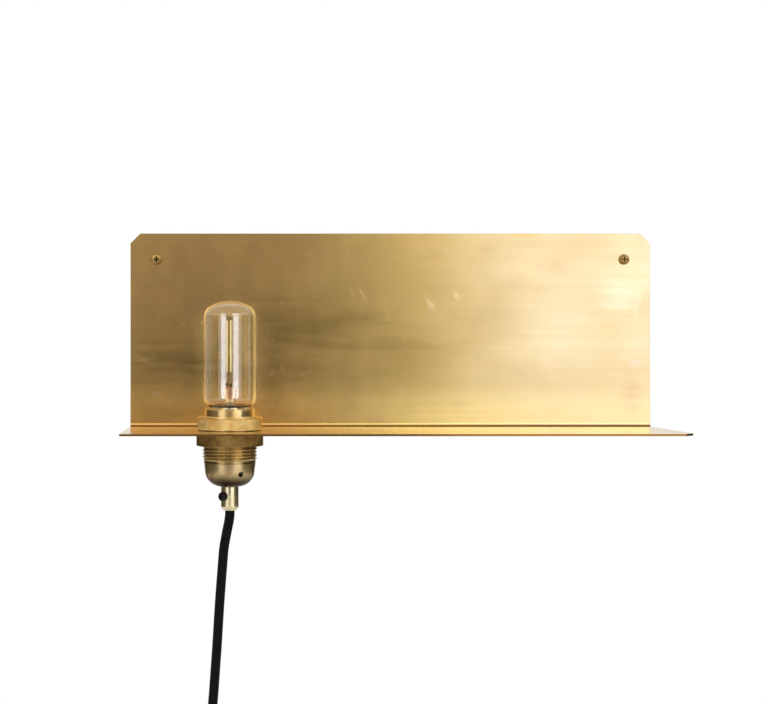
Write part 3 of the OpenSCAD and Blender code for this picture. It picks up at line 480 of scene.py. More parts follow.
@dataclass(frozen=True)
class SheetBrass:
    """Raw rolled brass sheet that has dulled in the hand: satin, browner at the lamp's end and paler and cleaner at
    the other, a change along the wall that is partly tarnish and partly painted shade and painted highlight, plain
    yellow in the middle, and lighter near the bend, which is a painted reflection of the shelf. It has soft clouds
    of tarnish that are thicker low down, faint rolling streaks along it, finger marks, two pale spots that are
    painted highlights, a few warm stains, browned cut edges, a paler shelf, which is painted light, and a dark line
    in the bend, which is painted shade."""

    name: str = "raw_brass_sheet"
    # Along the wall the colours are browner towards the lamp's end and paler at the other: partly tarnish, partly
    # painted shade and painted highlight.
    clean: str = "#EEDDB8"
    dull: str = "#E2CDA2"
    plain: str = "#DFC07A"
    plain_dull: str = "#CDB06E"
    handled_and_shaded: str = "#DCB576"
    handled_dull_and_shaded: str = "#C0A062"
    # The next three colours are painted light: a painted reflection of the shelf on the sheet near the bend.
    bounce_lit: str = "#F4DEAA"
    plain_bounce_lit: str = "#FFE393"
    handled_bounce_lit: str = "#FFCA76"
    # The shelf's colours are paler than the upright sheet's: painted light on the horizontal part.
    shelf: str = "#F2DDBC"
    handled_shelf_and_shaded: str = "#D2B98E"
    stain: str = "#D9A678"
    spot: str = "#F0D3A6"
    edge: str = "#A57A42"
    # Colour of the painted shade in the crease of the bend.
    dirt_and_bend_shade: str = "#5E3F20"
    rough: float = 0.25
    far_end_span: tuple[float, float] = (0.0, 0.15)
    lamp_end_span: tuple[float, float] = (0.01, -0.11)
    # Heights over which the painted reflection of the shelf comes in.
    bounce_light_span: tuple[float, float] = (-0.088, -0.120)
    cloud_mm: float = 52.0
    mark_mm: float = 13.0
    streak_mm: float = 4.5
    front_y: float = -0.0998
    side_x: float = 0.1998
    top_z: float = 0.0198
    cut_corner: float = 0.2921
    hair: float = 0.00005
    # Depth and height of the painted shade in the bend.
    bend_shade_y: tuple[float, float] = (-0.0046, -0.0040)
    bend_shade_z: tuple[float, float] = (-0.1268, -0.1276)
    marks: tuple[Mark, ...] = (
        Mark(178, -31, 20, 16, 10, "#FDF0D6", 0.45),
        Mark(190, -36, 4, 14, 10, "#F6E6C6", 0.5),
        Mark(189, -80, 7, 4, 20, "#F7D5C0", 0.8),
        Mark(186, -101, 12, 20, 0, "#DDBE96", 0.6),
        Mark(30, -33, 3.2, 9, -32, "#F6E2B4", 0.75),
        Mark(51, -28, 2.4, 6, -25, "#F6E2B4", 0.6),
        Mark(-21, -27, 1.6, 8, -32, "#EED08E", 0.7),
        Mark(-30, -24, 1.2, 6, -20, "#EED08E", 0.5),
        # The next two marks are pale spots that are painted highlights.
        Mark(-180, -104, 6, 4, 10, "#EAC294", 0.7),
        Mark(-166, -108, 5, 4, -20, "#E4BC8C", 0.6),
        Mark(-187, -33, 3, 2.4, 0, "#E9C994", 0.6),
        Mark(-165, -14, 14, 5, 24, "#E2BC80", 0.55),
        Mark(-143, -8, 8, 14, 20, "#DDB87C", 0.4),
        Mark(-64, -50, 70, 22, 2, "#8A7240", 0.5),
        Mark(-40, -66, 90, 7, 0, "#94763C", 0.3),
        Mark(-118, -86, 90, 16, -3, "#9A7642", 0.4),
        Mark(-168, -78, 34, 14, 14, "#866842", 0.6),
        Mark(10, -72, 40, 30, 0, "#B09858", 0.3),
        Mark(105, 18.6, 26, 3.4, 0, "#F3C478", 0.8),
        Mark(20, 14, 20, 10, 20, "#F2C98A", 0.4),
        Mark(-40, 12, 40, 10, 0, "#E8C880", 0.3),
    )

    def make(self) -> Material:
        """Builds the material. The rolling streaks are finer on the real sheet and are drawn wide enough to show."""
        made, tree, surface = start(self.name)
        x, y, z = split(tree, "Object")
        cloud = noise(tree, (self.cloud_mm * 1.8, self.cloud_mm, self.cloud_mm), 3.0, 0.45)
        mark = noise(tree, (self.mark_mm, self.mark_mm, self.mark_mm * 1.7), 2.0, 0.4)
        ragged = noise(tree, (self.mark_mm * 3.2, self.mark_mm, self.mark_mm * 0.5), 3.0, 0.5)
        streak = noise(tree, (190.0, self.streak_mm, self.streak_mm), 2.0, 0.5)
        colour = self.colour_of(tree, (x, y, z), (cloud, ragged, streak))
        # Painted shade: a dark line in the crease of the bend.
        bend_shade = calc("MULTIPLY", ease(y, *self.bend_shade_y), ease(z, *self.bend_shade_z, 0.0, 0.85))
        colour = mix(bend_shade, colour, self.dirt_and_bend_shade)
        colour = mix(self.where_cut(x, y, z), colour, self.edge)
        rough = ease(cloud, *NOISE_SPAN, self.rough, self.rough + 0.045)
        rough = calc("ADD", rough, ease(mark, 0.35, 0.8, 0.0, 0.02))
        rough = calc("ADD", rough, ease(y, -0.004, -0.003, -0.07, 0.0))
        feed(surface, {"Base Color": colour, "Metallic": 1.0, "Roughness": rough,
                       "Normal": bump(streak, 0.0025)})
        return made

    def colour_of(self, tree: Tree, place: Sequence[Socket], fields: Sequence[Socket]) -> Socket:
        """Works out the sheet's colour, without its cut edges and the painted shade in the bend.

        Args:
            tree: The node tree.
            place: The piece's own X, Y and Z.
            fields: The noise of the clouds, of the ragged edges and of the streaks.

        Returns:
            The colour.
        """
        x, y, z = place
        cloud, ragged, streak = fields
        # The lamp's end is browner and the other end paler: partly tarnish, partly painted shade and painted
        # highlight.
        bare, tarnished, bounce_light = (
            layer(layer(plain, clean, x, *self.far_end_span), handled_and_shaded, x, *self.lamp_end_span)
            for plain, clean, handled_and_shaded in ((self.plain, self.clean, self.handled_and_shaded),
                                          (self.plain_dull, self.dull, self.handled_dull_and_shaded),
                                          (self.plain_bounce_lit, self.bounce_lit, self.handled_bounce_lit)))
        lower = ease(z, 0.0, -0.08, -0.09, 0.07)
        colour = layer(bare, tarnished, calc("ADD", cloud, lower), 0.32, 0.68)
        # Painted reflection: the sheet is lighter near the bend, where it mirrors the shelf.
        colour = layer(colour, bounce_light, z, *self.bounce_light_span, 0.9)
        for spot in self.marks:
            colour = spot.lay(tree, colour, ragged)
        # Painted light: the horizontal part is paler.
        on_shelf = layer(self.shelf, self.handled_shelf_and_shaded, x, *self.lamp_end_span)
        colour = layer(colour, on_shelf, y, -0.003, -0.006)
        colour = layer(colour, self.handled_and_shaded, streak, 0.42, 0.66, 0.14)
        colour = layer(colour, self.stain, noise(tree, (23.0, 17.0, 15.0), 1.0, 0.4), 0.62, 0.78, 0.12)
        return layer(colour, self.spot, noise(tree, (5.0, 5.0, 5.0), 0.0, 0.4), 0.73, 0.86, 0.2)

    def where_cut(self, x: Socket, y: Socket, z: Socket) -> Socket:
        """Finds the cut edges, whose faces lie on the sheet's outline.

        Args:
            x: Place along the wall, in metres.
            y: Depth.
            z: Height.

        Returns:
            How browned each place is, 0 to 1.
        """
        corner = calc("SUBTRACT", x, y)
        side = calc("ABSOLUTE", x)
        cut = ease(y, self.front_y + self.hair, self.front_y - self.hair)
        for field, edge, most in ((corner, self.cut_corner, 1.0), (side, self.side_x, 0.6), (z, self.top_z, 0.6)):
            cut = calc("MAXIMUM", cut, ease(field, edge - self.hair, edge + self.hair, 0.0, most))
        return cut


@dataclass(frozen=True)
class TurnedBrass:
    """Raw brass turned on a lathe: fine rings round the upright axis, dulled unevenly by handling. Lower down it
    goes over to a darker, browner brass between two heights, which is painted shade on the skirt's thread under the
    rings and on the dome's lower curl. A darker line at one height is a painted contact shadow at the upper ring's
    foot, darkens the lower ring's lower edge and marks the skirt's seam with the cap, and the two screws are darker
    in their cross recesses."""

    name: str
    clean: str
    dull: str
    rough: float = 0.28
    line_mm: float = 0.35
    cloud_mm: float = 12.0
    # These four fields paint shade lower down: a darker, browner colour and its duller form, a change of roughness,
    # and the two heights between which they come in.
    shaded: str = ""
    shaded_dull: str = ""
    shade_zone_rough: float = 0.0
    shade_span: tuple[float, float] = (0.0, -1.0)
    seam: float = 1.0
    seam_mm: float = 0.5
    cross_x: float = 0.0
    cross_y: float = 1.0
    # Colour of the darker line at one height and of the screws' cross recesses; at the upper ring's foot the line is
    # a painted contact shadow.
    grime_and_shade: str = "#4A3418"

    def make(self) -> Material:
        """Builds the material. The turning lines are finer on the real piece and are drawn coarse enough to show."""
        made, tree, surface = start(self.name)
        cloud = noise(tree, (self.cloud_mm,) * 3, 4.0, 0.6)
        lines = noise(tree, (40.0, 40.0, self.line_mm), 2.0, 0.5)
        x, y, z = split(tree, "Object")
        colour = layer(self.clean, self.dull, cloud, 0.36, 0.66)
        rough = ease(cloud, *NOISE_SPAN, self.rough - 0.05, self.rough + 0.09)
        # Painted shade: lower down the brass goes over to a darker, browner colour.
        if self.shaded:
            shaded = layer(self.shaded, self.shaded_dull, cloud, 0.36, 0.66)
            colour = layer(colour, shaded, z, *self.shade_span)
            rough = calc("ADD", rough, ease(z, *self.shade_span, 0.0, self.shade_zone_rough))
        dirt_and_bend_shade = noise(tree, (2.0, 2.0, 1.2), 3.0, 0.6)
        colour = layer(colour, self.shaded_dull or self.dull, dirt_and_bend_shade, 0.6, 0.78, 0.3)
        # A darker line at one height: a painted contact shadow at the upper ring's foot, a dark joint at the skirt's
        # seam, and a darker lower edge on the lower ring.
        if self.seam < 1.0:
            away = calc("ABSOLUTE", calc("SUBTRACT", z, self.seam))
            colour = layer(colour, self.grime_and_shade, away, self.seam_mm * MM, 0.5 * self.seam_mm * MM, 0.8)
        # The screws are darker in their cross recesses.
        if self.cross_y < 1.0:
            colour = mix(self.where_sunk(tree, x, y, z), colour, self.grime_and_shade)
        feed(surface, {"Base Color": colour, "Metallic": 1.0, "Roughness": rough,
                       "Normal": bump(lines, 0.008)})
        return made

    def where_sunk(self, tree: Tree, x: Socket, y: Socket, z: Socket) -> Socket:
        """Finds the cross recess in the head of either screw: behind the face, and within 2.4 mm of the middle.

        Args:
            tree: The node tree.
            x: Place along the wall, in metres.
            y: Depth.
            z: Height.

        Returns:
            How far each place is in a recess, 0 to 1.
        """
        across = calc("SUBTRACT", calc("ABSOLUTE", x), self.cross_x)
        flat = add(tree, "CombineXYZ", {}, {0: across, 2: z})
        reach = add(tree, "VectorMath", {"operation": "LENGTH"}, (flat,), "Value")
        behind = ease(y, self.cross_y - 0.0002, self.cross_y)
        return calc("MULTIPLY", behind, ease(reach, 0.0025, 0.0023))


@dataclass(frozen=True)
class PlainMetal:
    """Plated or stamped metal with a slightly uneven polish."""

    name: str
    colour: str
    rough: float = 0.3

    def make(self) -> Material:
        """Builds the material."""
        made, tree, surface = start(self.name)
        patch = noise(tree, (3.0, 3.0, 3.0), 4.0)
        rough = ease(patch, *NOISE_SPAN, self.rough - 0.06, self.rough + 0.1)
        feed(surface, {"Base Color": linear(self.colour), "Metallic": 1.0, "Roughness": rough})
        return made


@dataclass(frozen=True)
class MouldedPlastic:
    """Moulded ABS or glazed ware: a fine skin from the mould that breaks up its gloss."""

    name: str
    colour: str
    shade: str
    rough: float = 0.42
    grain_mm: float = 0.5
    grain_depth_mm: float = 0.01
    coat: float = 0.0
    gloss: float = 0.5

    def make(self) -> Material:
        """Builds the material."""
        made, tree, surface = start(self.name)
        patch = noise(tree, (14.0, 14.0, 14.0), 3.0)
        grain = noise(tree, (self.grain_mm,) * 3, 2.0)
        feed(surface, {"Base Color": layer(self.colour, self.shade, patch, 0.35, 0.65),
                       "Roughness": ease(patch, *NOISE_SPAN, self.rough - 0.04, self.rough + 0.06),
                       "Normal": bump(grain, self.grain_depth_mm), "Specular IOR Level": self.gloss,
                       "Coat Weight": self.coat, "Coat Roughness": 0.08})
        return made


@dataclass(frozen=True)
class PhosphorCoat:
    """Silicone filled with yellow phosphor over a row of diodes. Its faint emission is painted light, which
    brightens the unlit filaments that light through the glass barely reaches.
    """

    name: str = "phosphor_coat"
    colour: str = "#F7EABB"
    thin: str = "#EBD695"
    # Strength of the painted light on the filaments.
    painted_emission: float = 0.25

    def make(self) -> Material:
        """Builds the material."""
        made, tree, surface = start(self.name)
        colour = layer(self.colour, self.thin, noise(tree, (1.5, 1.5, 1.5), 2.0), 0.35, 0.65)
        # Painted light: the emission brightens the unlit filaments.
        feed(surface, {"Base Color": colour, "Emission Color": colour, "Emission Strength": self.painted_emission,
                       "Roughness": 0.5})
        return made


@dataclass(frozen=True)
class BlownGlass:
    """Blown soda-lime glass: clear and all but colourless, with a slight ripple from the blowing."""

    name: str
    tint: str
    rough: float = 0.0
    clear: float = 1.0

    def make(self) -> Material:
        """Builds the material."""
        made, tree, surface = start(self.name)
        ripple = noise(tree, (30.0, 30.0, 60.0), 1.0)
        feed(surface, {"Base Color": linear(self.tint), "Transmission Weight": self.clear, "IOR": 1.51,
                       "Roughness": self.rough, "Normal": bump(ripple, 0.05)})
        return made


@dataclass(frozen=True)
class BraidedTextile:
    """Braided rayon over a round cord: strands in two directions that pass over and under each other, with a
    soft dark sheen."""

    name: str = "black_braid"
    strand: str = "#0F0D11"
    gap: str = "#040305"
    fuzz: str = "#1A161B"
    strands_round: float = 12.0
    strand_mm: float = 2.6

    def make(self) -> Material:
        """Builds the material. Each strand's height is a raised cosine across it, and a chequer of the two
        directions says which one lies on top."""
        made, tree, surface = start(self.name)
        along_cord, round_cord, _ = split(tree, "UV")
        turn = calc("MULTIPLY", round_cord, self.strands_round)
        run = calc("DIVIDE", along_cord, self.strand_mm)
        phases = [calc("MULTIPLY", calc(way, turn, run), 2 * math.pi) for way in ("ADD", "SUBTRACT")]
        waves = [calc("COSINE", phase) for phase in phases]
        ridges = [add(tree, "MapRange", {}, {"Value": wave, "From Min": -1.0}) for wave in waves]
        chequer = calc("MULTIPLY", *(calc("SINE", phase) for phase in phases))
        height = add(tree, "Mix", {"data_type": "FLOAT"},
                     {0: ease(chequer, -0.25, 0.25), 2: ridges[0], 3: ridges[1]})
        colour = layer(self.gap, self.strand, height, 0.05, 0.8)
        colour = layer(colour, self.fuzz, noise(tree, (0.5, 0.5, 0.5), 2.0), 0.4, 0.7, 0.3)
        feed(surface, {"Base Color": colour, "Roughness": 0.75, "Specular IOR Level": 0.14, "Sheen Weight": 0.02,
                       "Sheen Roughness": 0.4, "Normal": bump(height, 0.25)})
        return made


class Finishes:
    """Every finish of the lamp, made once."""

    def __init__(self) -> None:
        """Builds the materials by name."""
        kinds = [
            SheetBrass(),
            # The upper ring's darker line at its foot is a painted contact shadow where it sits on the shelf.
            TurnedBrass("upper_ring_brass", "#EBCF90", "#D8AE68", 0.26, seam=-0.1285, seam_mm=0.7),
            # The lower ring is darker than the upper one, partly patina and partly painted shade under the shelf.
            TurnedBrass("lower_ring_brass", "#A88850", "#7E6238", 0.34, seam=-0.1397, seam_mm=0.4),
            # The skirt's thread under the rings takes the darker colour: painted shade.
            TurnedBrass("skirt_brass", "#EBD09A", "#C9A76C", 0.21, shaded="#CBB07A", shaded_dull="#A48B58",
                        shade_zone_rough=0.02, shade_span=(-0.131, -0.137), seam=-0.152, seam_mm=0.45),
            # The dome's lower curl takes the darker colour: painted shade.
            TurnedBrass("dome_brass", "#D2B98C", "#B0966C", 0.27, shaded="#3E2F1C", shaded_dull="#2C2012",
                        shade_zone_rough=0.05, shade_span=(-0.1578, -0.1668)),
            # The grip's brass is paler than the other pieces' to brighten its highlights: painted light.
            TurnedBrass("grip_brass", "#FCF2D0", "#F0E2B8", 0.18),
            TurnedBrass("screw_brass", "#C3A468", "#96794A", 0.3, 0.5, cross_y=-0.0036, cross_x=0.180),
            PlainMetal("stamped_brass", "#D9BC74", 0.25),
            PlainMetal("nickel_plate", "#C9C5BA", 0.22),
            PlainMetal("zinc_plate", "#B9BABA", 0.34),
            PlainMetal("lead_wire", "#D8CFB4", 0.3),
            PlainMetal("welded_joint", "#4A4034", 0.45),
            MouldedPlastic("glazed_porcelain", "#EFEBDF", "#E2DCCB", 0.3, 2.0, 0.01, 1.0),
            MouldedPlastic("black_abs", "#1B1B1D", "#141415", 0.4),
            MouldedPlastic("black_screw", "#0C0A0D", "#070608", 0.32, gloss=0.25),
            MouldedPlastic("black_webbing", "#201D21", "#141216", 0.8, 0.6, 0.08),
            MouldedPlastic("brown_pvc", "#6B3F22", "#5C351C", 0.4),
            MouldedPlastic("blue_pvc", "#2F5F9A", "#284F82", 0.4),
            MouldedPlastic("green_pvc", "#8AA63A", "#7B9630", 0.4),
            PhosphorCoat(),
            MouldedPlastic("circuit_board", "#2F6B45", "#27583A", 0.4),
            MouldedPlastic("vitrite", "#1A191C", "#121114", 0.12),
            BlownGlass("bulb_glass", "#FFFFFA"),
            BlownGlass("stem_glass", "#FFFEFA", 0.02, 0.96),
            BraidedTextile(),
        ]
        self.made = {kind.name: kind.make() for kind in kinds}

    def dress(self, obj: Piece, finish: str) -> None:
        """Gives a piece its finish."""
        obj.data.materials.clear()
        obj.data.materials.append(self.made[finish])

    def dress_nodes(self, **finishes: str) -> None:
        """Gives frame nodes that stay in view their finishes.

        Args:
            finishes: The finish's name for each node's name.
        """
        for node_name, finish in finishes.items():
            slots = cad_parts[node_name].data.materials
            if not slots:
                slots.append(self.made[finish])
            for k in range(len(slots)):
                slots[k] = self.made[finish]

    def settle(self, obj: Piece, body: Body, slot: str, finish: str, *nodes: str) -> Piece:
        """Finishes a piece: its material, its body and the nodes that it stands for.

        Args:
            obj: The piece.
            body: The body that it rides on.
            slot: The record's material slot; not used.
            finish: The finish's name.
            nodes: Frame nodes that the piece replaces.

        Returns:
            The piece.
        """
        self.dress(obj, finish)
        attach(obj, body.value)
        if nodes:
            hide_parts(*nodes)
        LOG.info("%s: %d faces, %s", obj.name, len(obj.data.polygons), finish)
        return obj


# --------------------------------------------------------------------------- studio


@dataclass(frozen=True)
class SoftBox:
    """A flat rectangular light that faces the lamp."""

    name: str
    left: float
    right: float
    low: float
    high: float
    radiance: float
    colour: str = WHITE
    y: float = -1.45

    def hang(self) -> Piece:
        """Makes the light, with its power worked out from its radiance and size."""
        width, height = self.right - self.left, self.high - self.low
        light = bpy.data.lights.new(self.name, "AREA")
        light.shape = "RECTANGLE"
        light.size, light.size_y = width, height
        light.color = linear(self.colour)[:3]
        light.energy = self.radiance * math.pi * width * height
        obj = link(self.name, light)
        obj.location = ((self.left + self.right) / 2, self.y, (self.low + self.high) / 2)
        obj.rotation_euler = (math.radians(90), 0, 0)
        return obj


@dataclass(frozen=True)
class Studio:
    """The camera, the lights, the pale floor and the white surroundings."""

    eye: tuple[float, float, float] = (-0.12225, -0.97277, -0.07584)
    yaw: float = 0.00181
    pitch: float = 0.00473
    roll: float = 0.00007
    lens_mm: float = 59.146
    shift_x: float = 0.19556
    floor_z: float = -0.66
    floor_half: float = 2.0
    floor_back: float = 1.1
    floor_colour: str = "#F4F3F0"
    floor_lift: float = 0.3
    room_low: str = "#3E3424"
    room_high: str = "#FFF8EC"
    ambient: str = "#D6D4D0"
    behind: tuple[float, float] = (0.82, 0.98)
    through: tuple[float, float] = (-0.05, 0.3)
    boxes: tuple[SoftBox, ...] = (
        SoftBox("softbox_left", -1.25, -0.58, -0.143, 0.75, 1.15),
        SoftBox("softbox_right", 0.245, 1.10, -0.143, 0.75, 1.19),
        SoftBox("low_left", -1.25, -0.58, -0.62, -0.146, 0.95),
        SoftBox("low_right", 0.245, 1.10, -0.62, -0.146, 1.12),
        SoftBox("low_centre", -0.42, 0.14, -0.42, -0.27, 1.0),
        SoftBox("far_left", -1.95, -1.26, -0.62, 0.75, 0.8),
        SoftBox("far_right", 1.11, 1.90, -0.62, 0.75, 1.1),
    )
    glints: tuple[SoftBox, ...] = (
        SoftBox("glint_left", -1.25, -0.58, -0.143, 0.75, 3.0, "#ECEEFF", -1.46),
        SoftBox("glint_right", 0.16, 1.10, -0.143, 0.75, 3.0, "#ECEEFF", -1.46),
        SoftBox("low_glint_left", -1.25, -0.58, -0.22, -0.146, 4.3, "#F4F4FF", -1.46),
        SoftBox("low_glint_right", 0.16, 1.10, -0.22, -0.146, 4.3, "#F4F4FF", -1.46),
    )

    def set_camera(self) -> None:
        """Places the camera where the photograph was taken from."""
        camera = bpy.data.cameras.new("camera")
        camera.sensor_width = 36.0
        camera.lens = self.lens_mm
        camera.shift_x = self.shift_x
        camera.clip_start = 0.01
        obj = link("camera", camera)
        obj.location = self.eye
        obj.rotation_euler = (math.radians(90) + self.pitch, self.roll, -self.yaw)
        bpy.context.scene.camera = obj

    def build(self, glass: Sequence[Piece]) -> None:
        """Hangs the lights and lays the floor and the surroundings.

        Args:
            glass: The pieces that alone catch the glints. Clear glass mirrors only a twelfth of a light, so at the
                plain level that suits the metal its highlights would be lost.
        """
        scene = bpy.context.scene
        scene.view_settings.view_transform = "Standard"
        for box in self.boxes:
            box.hang()
        only_glass = bpy.data.collections.new("glass")
        for piece in glass:
            only_glass.objects.link(piece)
        for glint in self.glints:
            glint.hang().light_linking.receiver_collection = only_glass
        self.lay_floor()
        self.surround()

    def lay_floor(self) -> None:
        """Lays the pale floor under the lamp. It ends before the photograph's lower edge shows it, and is clear
        from below, so that the lamp can be seen from there."""
        mesh = bpy.data.meshes.new("floor")
        corners = ((-1, -self.floor_half), (1, -self.floor_half), (1, self.floor_back), (-1, self.floor_back))
        mesh.from_pydata([(way * self.floor_half, y, self.floor_z) for way, y in corners], [], [(0, 1, 2, 3)])
        floor = link("floor", mesh)
        made, tree, surface = start("pale_floor")
        seen = add(tree, "LightPath", {}, {}, "Is Camera Ray")
        feed(surface, {"Base Color": linear(self.floor_colour), "Roughness": 0.9, "Emission Color": linear(WHITE),
                       "Emission Strength": calc("MULTIPLY", seen, self.floor_lift)})
        under = add(tree, "NewGeometry", {}, {}, "Backfacing")
        pale, clear = tree.nodes["Principled BSDF"].outputs[0], add(tree, "BsdfTransparent", {}, {})
        feed(tree.nodes["Material Output"].inputs, {"Surface": add(tree, "MixShader", {}, (under, pale, clear))})
        floor.data.materials.append(made)

    def surround(self) -> None:
        """Sets the world: white to the camera and behind the lamp, and a dim warm room in front of it. The white
        starts further forward where it is seen through glass."""
        world = bpy.data.worlds.new("surroundings")
        bpy.context.scene.world = world
        world.use_nodes = True
        tree = world.node_tree
        _, ahead, up = split(tree, "Generated")
        front = layer(self.room_low, self.room_high, up, 0.03, 0.33)
        rooms = (("Is Glossy Ray", layer(front, WHITE, ahead, *self.behind)),
                 ("Is Transmission Ray", layer(front, WHITE, ahead, *self.through)),
                 ("Is Camera Ray", WHITE))
        light: Colour = self.ambient
        for rays, room in rooms:
            light = mix(add(tree, "LightPath", {}, {}, rays), light, room)
        feed(tree.nodes["Background"].inputs, {"Color": light})


# --------------------------------------------------------------------------- the lamp


@dataclass(frozen=True)
class Places:
    """Where the lamp's own pieces stand."""

    axis: Axis = Axis(-0.1235, -0.050, -0.1285)
    grip_end: float = -58.5
    switch_length: float = 62.0

    def at(self, x: float, y: float, z: float) -> np.ndarray:
        """Turns millimetres from the lamp's axis and the shelf's top into a point."""
        return np.array([self.axis.x + x * MM, self.axis.y + y * MM, self.axis.z + z * MM])


@dataclass
class CordRoute:
    """The cord's line from the grip through the switch and the coil to the plug, in millimetres."""

    places: Places
    diameter: float = 7.0
    turns: float = 8.25
    layers: int = 4
    coil_r: float = 49.5
    gap: float = 0.6
    tail: float = 24.0
    upper: tuple[tuple[float, float, float], ...] = (
        (0, 0, 0), (0, 0, -3), (-0.6, 0, -8), (-2.4, 0, -17), (-4.3, 0, -28), (-5.5, 0, -42), (-6.9, 0, -60),
        (-8.1, 0, -78), (-9.3, 0, -98), (-10.5, 0, -115), (-11.7, 0, -132), (-12.8, 0, -146), (-13.1, 0, -153),
        (-13.1, 0, -156),
    )
    lower: tuple[tuple[float, float, float], ...] = (
        (0, 0, 0), (0, 0, -3), (-0.7, -1, -10), (-3.1, -2.4, -17), (-5.9, -4, -24), (-7.7, -6, -32), (-7.2, -8, -40),
        (-4.5, -9.6, -48), (0.3, -10.8, -55), (6.7, -11.4, -59.8), (13.9, -11.4, -61.5), (20.9, -11.4, -61.5),
    )

    def upper_line(self) -> np.ndarray:
        """Gives the stretch from the grip to the switch."""
        points = np.array(self.upper, float) + (0, 0, self.places.grip_end)
        return along(points, 5) * MM + self.places.at(0, 0, 0)

    def switch_top(self) -> np.ndarray:
        """Gives the point where the cord enters the switch, in millimetres from the lamp."""
        return np.array(self.upper[-1], float) + (0, 0, self.places.grip_end)

    def coil_line(self, start_mm: np.ndarray) -> np.ndarray:
        """Winds the coil: radius falls and rises steadily in turn with each layer, and the climb to the next
        layer eases over the half turn where it reverses.

        Args:
            start_mm: The coil's first point.

        Returns:
            The centre line, 48 points to a turn, in millimetres.
        """
        pitch = self.diameter + self.gap
        per_layer = self.turns / self.layers
        t = np.linspace(0.0, self.turns, round(self.turns * 48) + 1)
        ply = np.minimum(np.floor(t / per_layer), self.layers - 1)
        share = t / per_layer - ply
        inward = np.where(ply % 2 == 0, share, 1 - share)
        r = self.coil_r - inward * per_layer * pitch
        depth = sum(smooth_step((t - k * per_layer) * 2 + 0.5) for k in range(1, self.layers)) * pitch
        a = np.pi / 2 - 2 * np.pi * t
        middle = start_mm[2] - self.coil_r
        return np.stack([start_mm[0] + r * np.cos(a), start_mm[1] + depth, middle + r * np.sin(a)], -1)

    def lower_line(self) -> np.ndarray:
        """Gives the stretch from the switch through the coil to the plug's sleeve."""
        switch_end = self.switch_top() - (0, 0, self.places.switch_length)
        free = along(np.array(self.lower, float) + switch_end, 5)
        coil = self.coil_line(free[-1] + (self.diameter, 0, 0))
        tail = coil[-1] - np.array([0, 0, 1.0]) * np.linspace(4, self.tail, 6)[:, None]
        return np.concatenate([free, coil, tail]) * MM + self.places.at(0, 0, 0)


@dataclass
class Cord:
    """The textile cord in its two stretches, its tie, its switch and its plug."""

    route: CordRoute
    finishes: Finishes

    def build(self) -> None:
        """Makes both stretches and dresses what is on them."""
        radius = self.route.diameter / 2 * MM
        switch = self.dress_switch()
        plug = self.dress_plug()
        line = self.route.upper_line()
        upper = tube("cord_to_switch", line, radius, 24)
        self.finishes.settle(upper, Body.WALL, "black_textile", "black_braid", "cord_upper")
        line = self.route.lower_line()
        lower = tube("cord_to_plug", line, radius, 16)
        self.finishes.settle(lower, Body.WALL, "black_textile", "black_braid", "cord_lower", "cord_coil")

    def dress_switch(self) -> list[Piece | str]:
        """Softens the switch's shells and rocker and dresses its inner pieces.

        Returns:
            The pieces of the switch.
        """
        found: list[Piece | str] = []
        for node_name, body, width in (("switch_back_shell", Body.WALL, 0.8), ("switch_front_shell", Body.WALL, 0.8),
                                       ("switch_rocker", Body.ROCKER, 0.35)):
            piece = copy_of(node_name, node_name + "_skin", width * MM, 3)
            found.append(self.finishes.settle(piece, body, "black_plastic", "black_abs"))
        inner = {"switch_contacts": "stamped_brass", "switch_cores": "brown_pvc", "switch_screws": "zinc_plate"}
        self.finishes.dress_nodes(**inner)
        return [*found, *inner]

    def dress_plug(self) -> list[Piece | str]:
        """Softens the plug and its sleeve and dresses the pins, the clips and the tie.

        Returns:
            The pieces on the cord's far end.
        """
        found: list[Piece | str] = []
        for node_name, finish, slot, width in (("plug_body", "black_abs", "black_plastic", 0.5),
                                               ("plug_sleeve", "black_abs", "black_plastic", 0.25),
                                               ("cord_tie", "black_webbing", "black_textile", 0.5)):
            piece = copy_of(node_name, node_name + "_skin", width * MM, 2)
            found.append(self.finishes.settle(piece, Body.WALL, slot, finish))
        contacts = ("plug_pins", "plug_earth_clips")
        self.finishes.dress_nodes(**dict.fromkeys(contacts, "nickel_plate"))
        return [*found, *contacts]


@dataclass
class Bracket:
    """The bent sheet and its two wall screws."""

    finishes: Finishes

    def build(self) -> None:
        """Makes the sheet and the screws with softened edges."""
        sheet = copy_of("shelf_bracket", "bent_sheet", 0.25 * MM, 2, 50.0)
        self.finishes.settle(sheet, Body.WALL, "brass_sheet", "raw_brass_sheet")
        screws = copy_of("wall_screws", "wall_screw_pair", 0.12 * MM, 2, 40.0)
        self.finishes.settle(screws, Body.WALL, "turned_brass", "screw_brass")


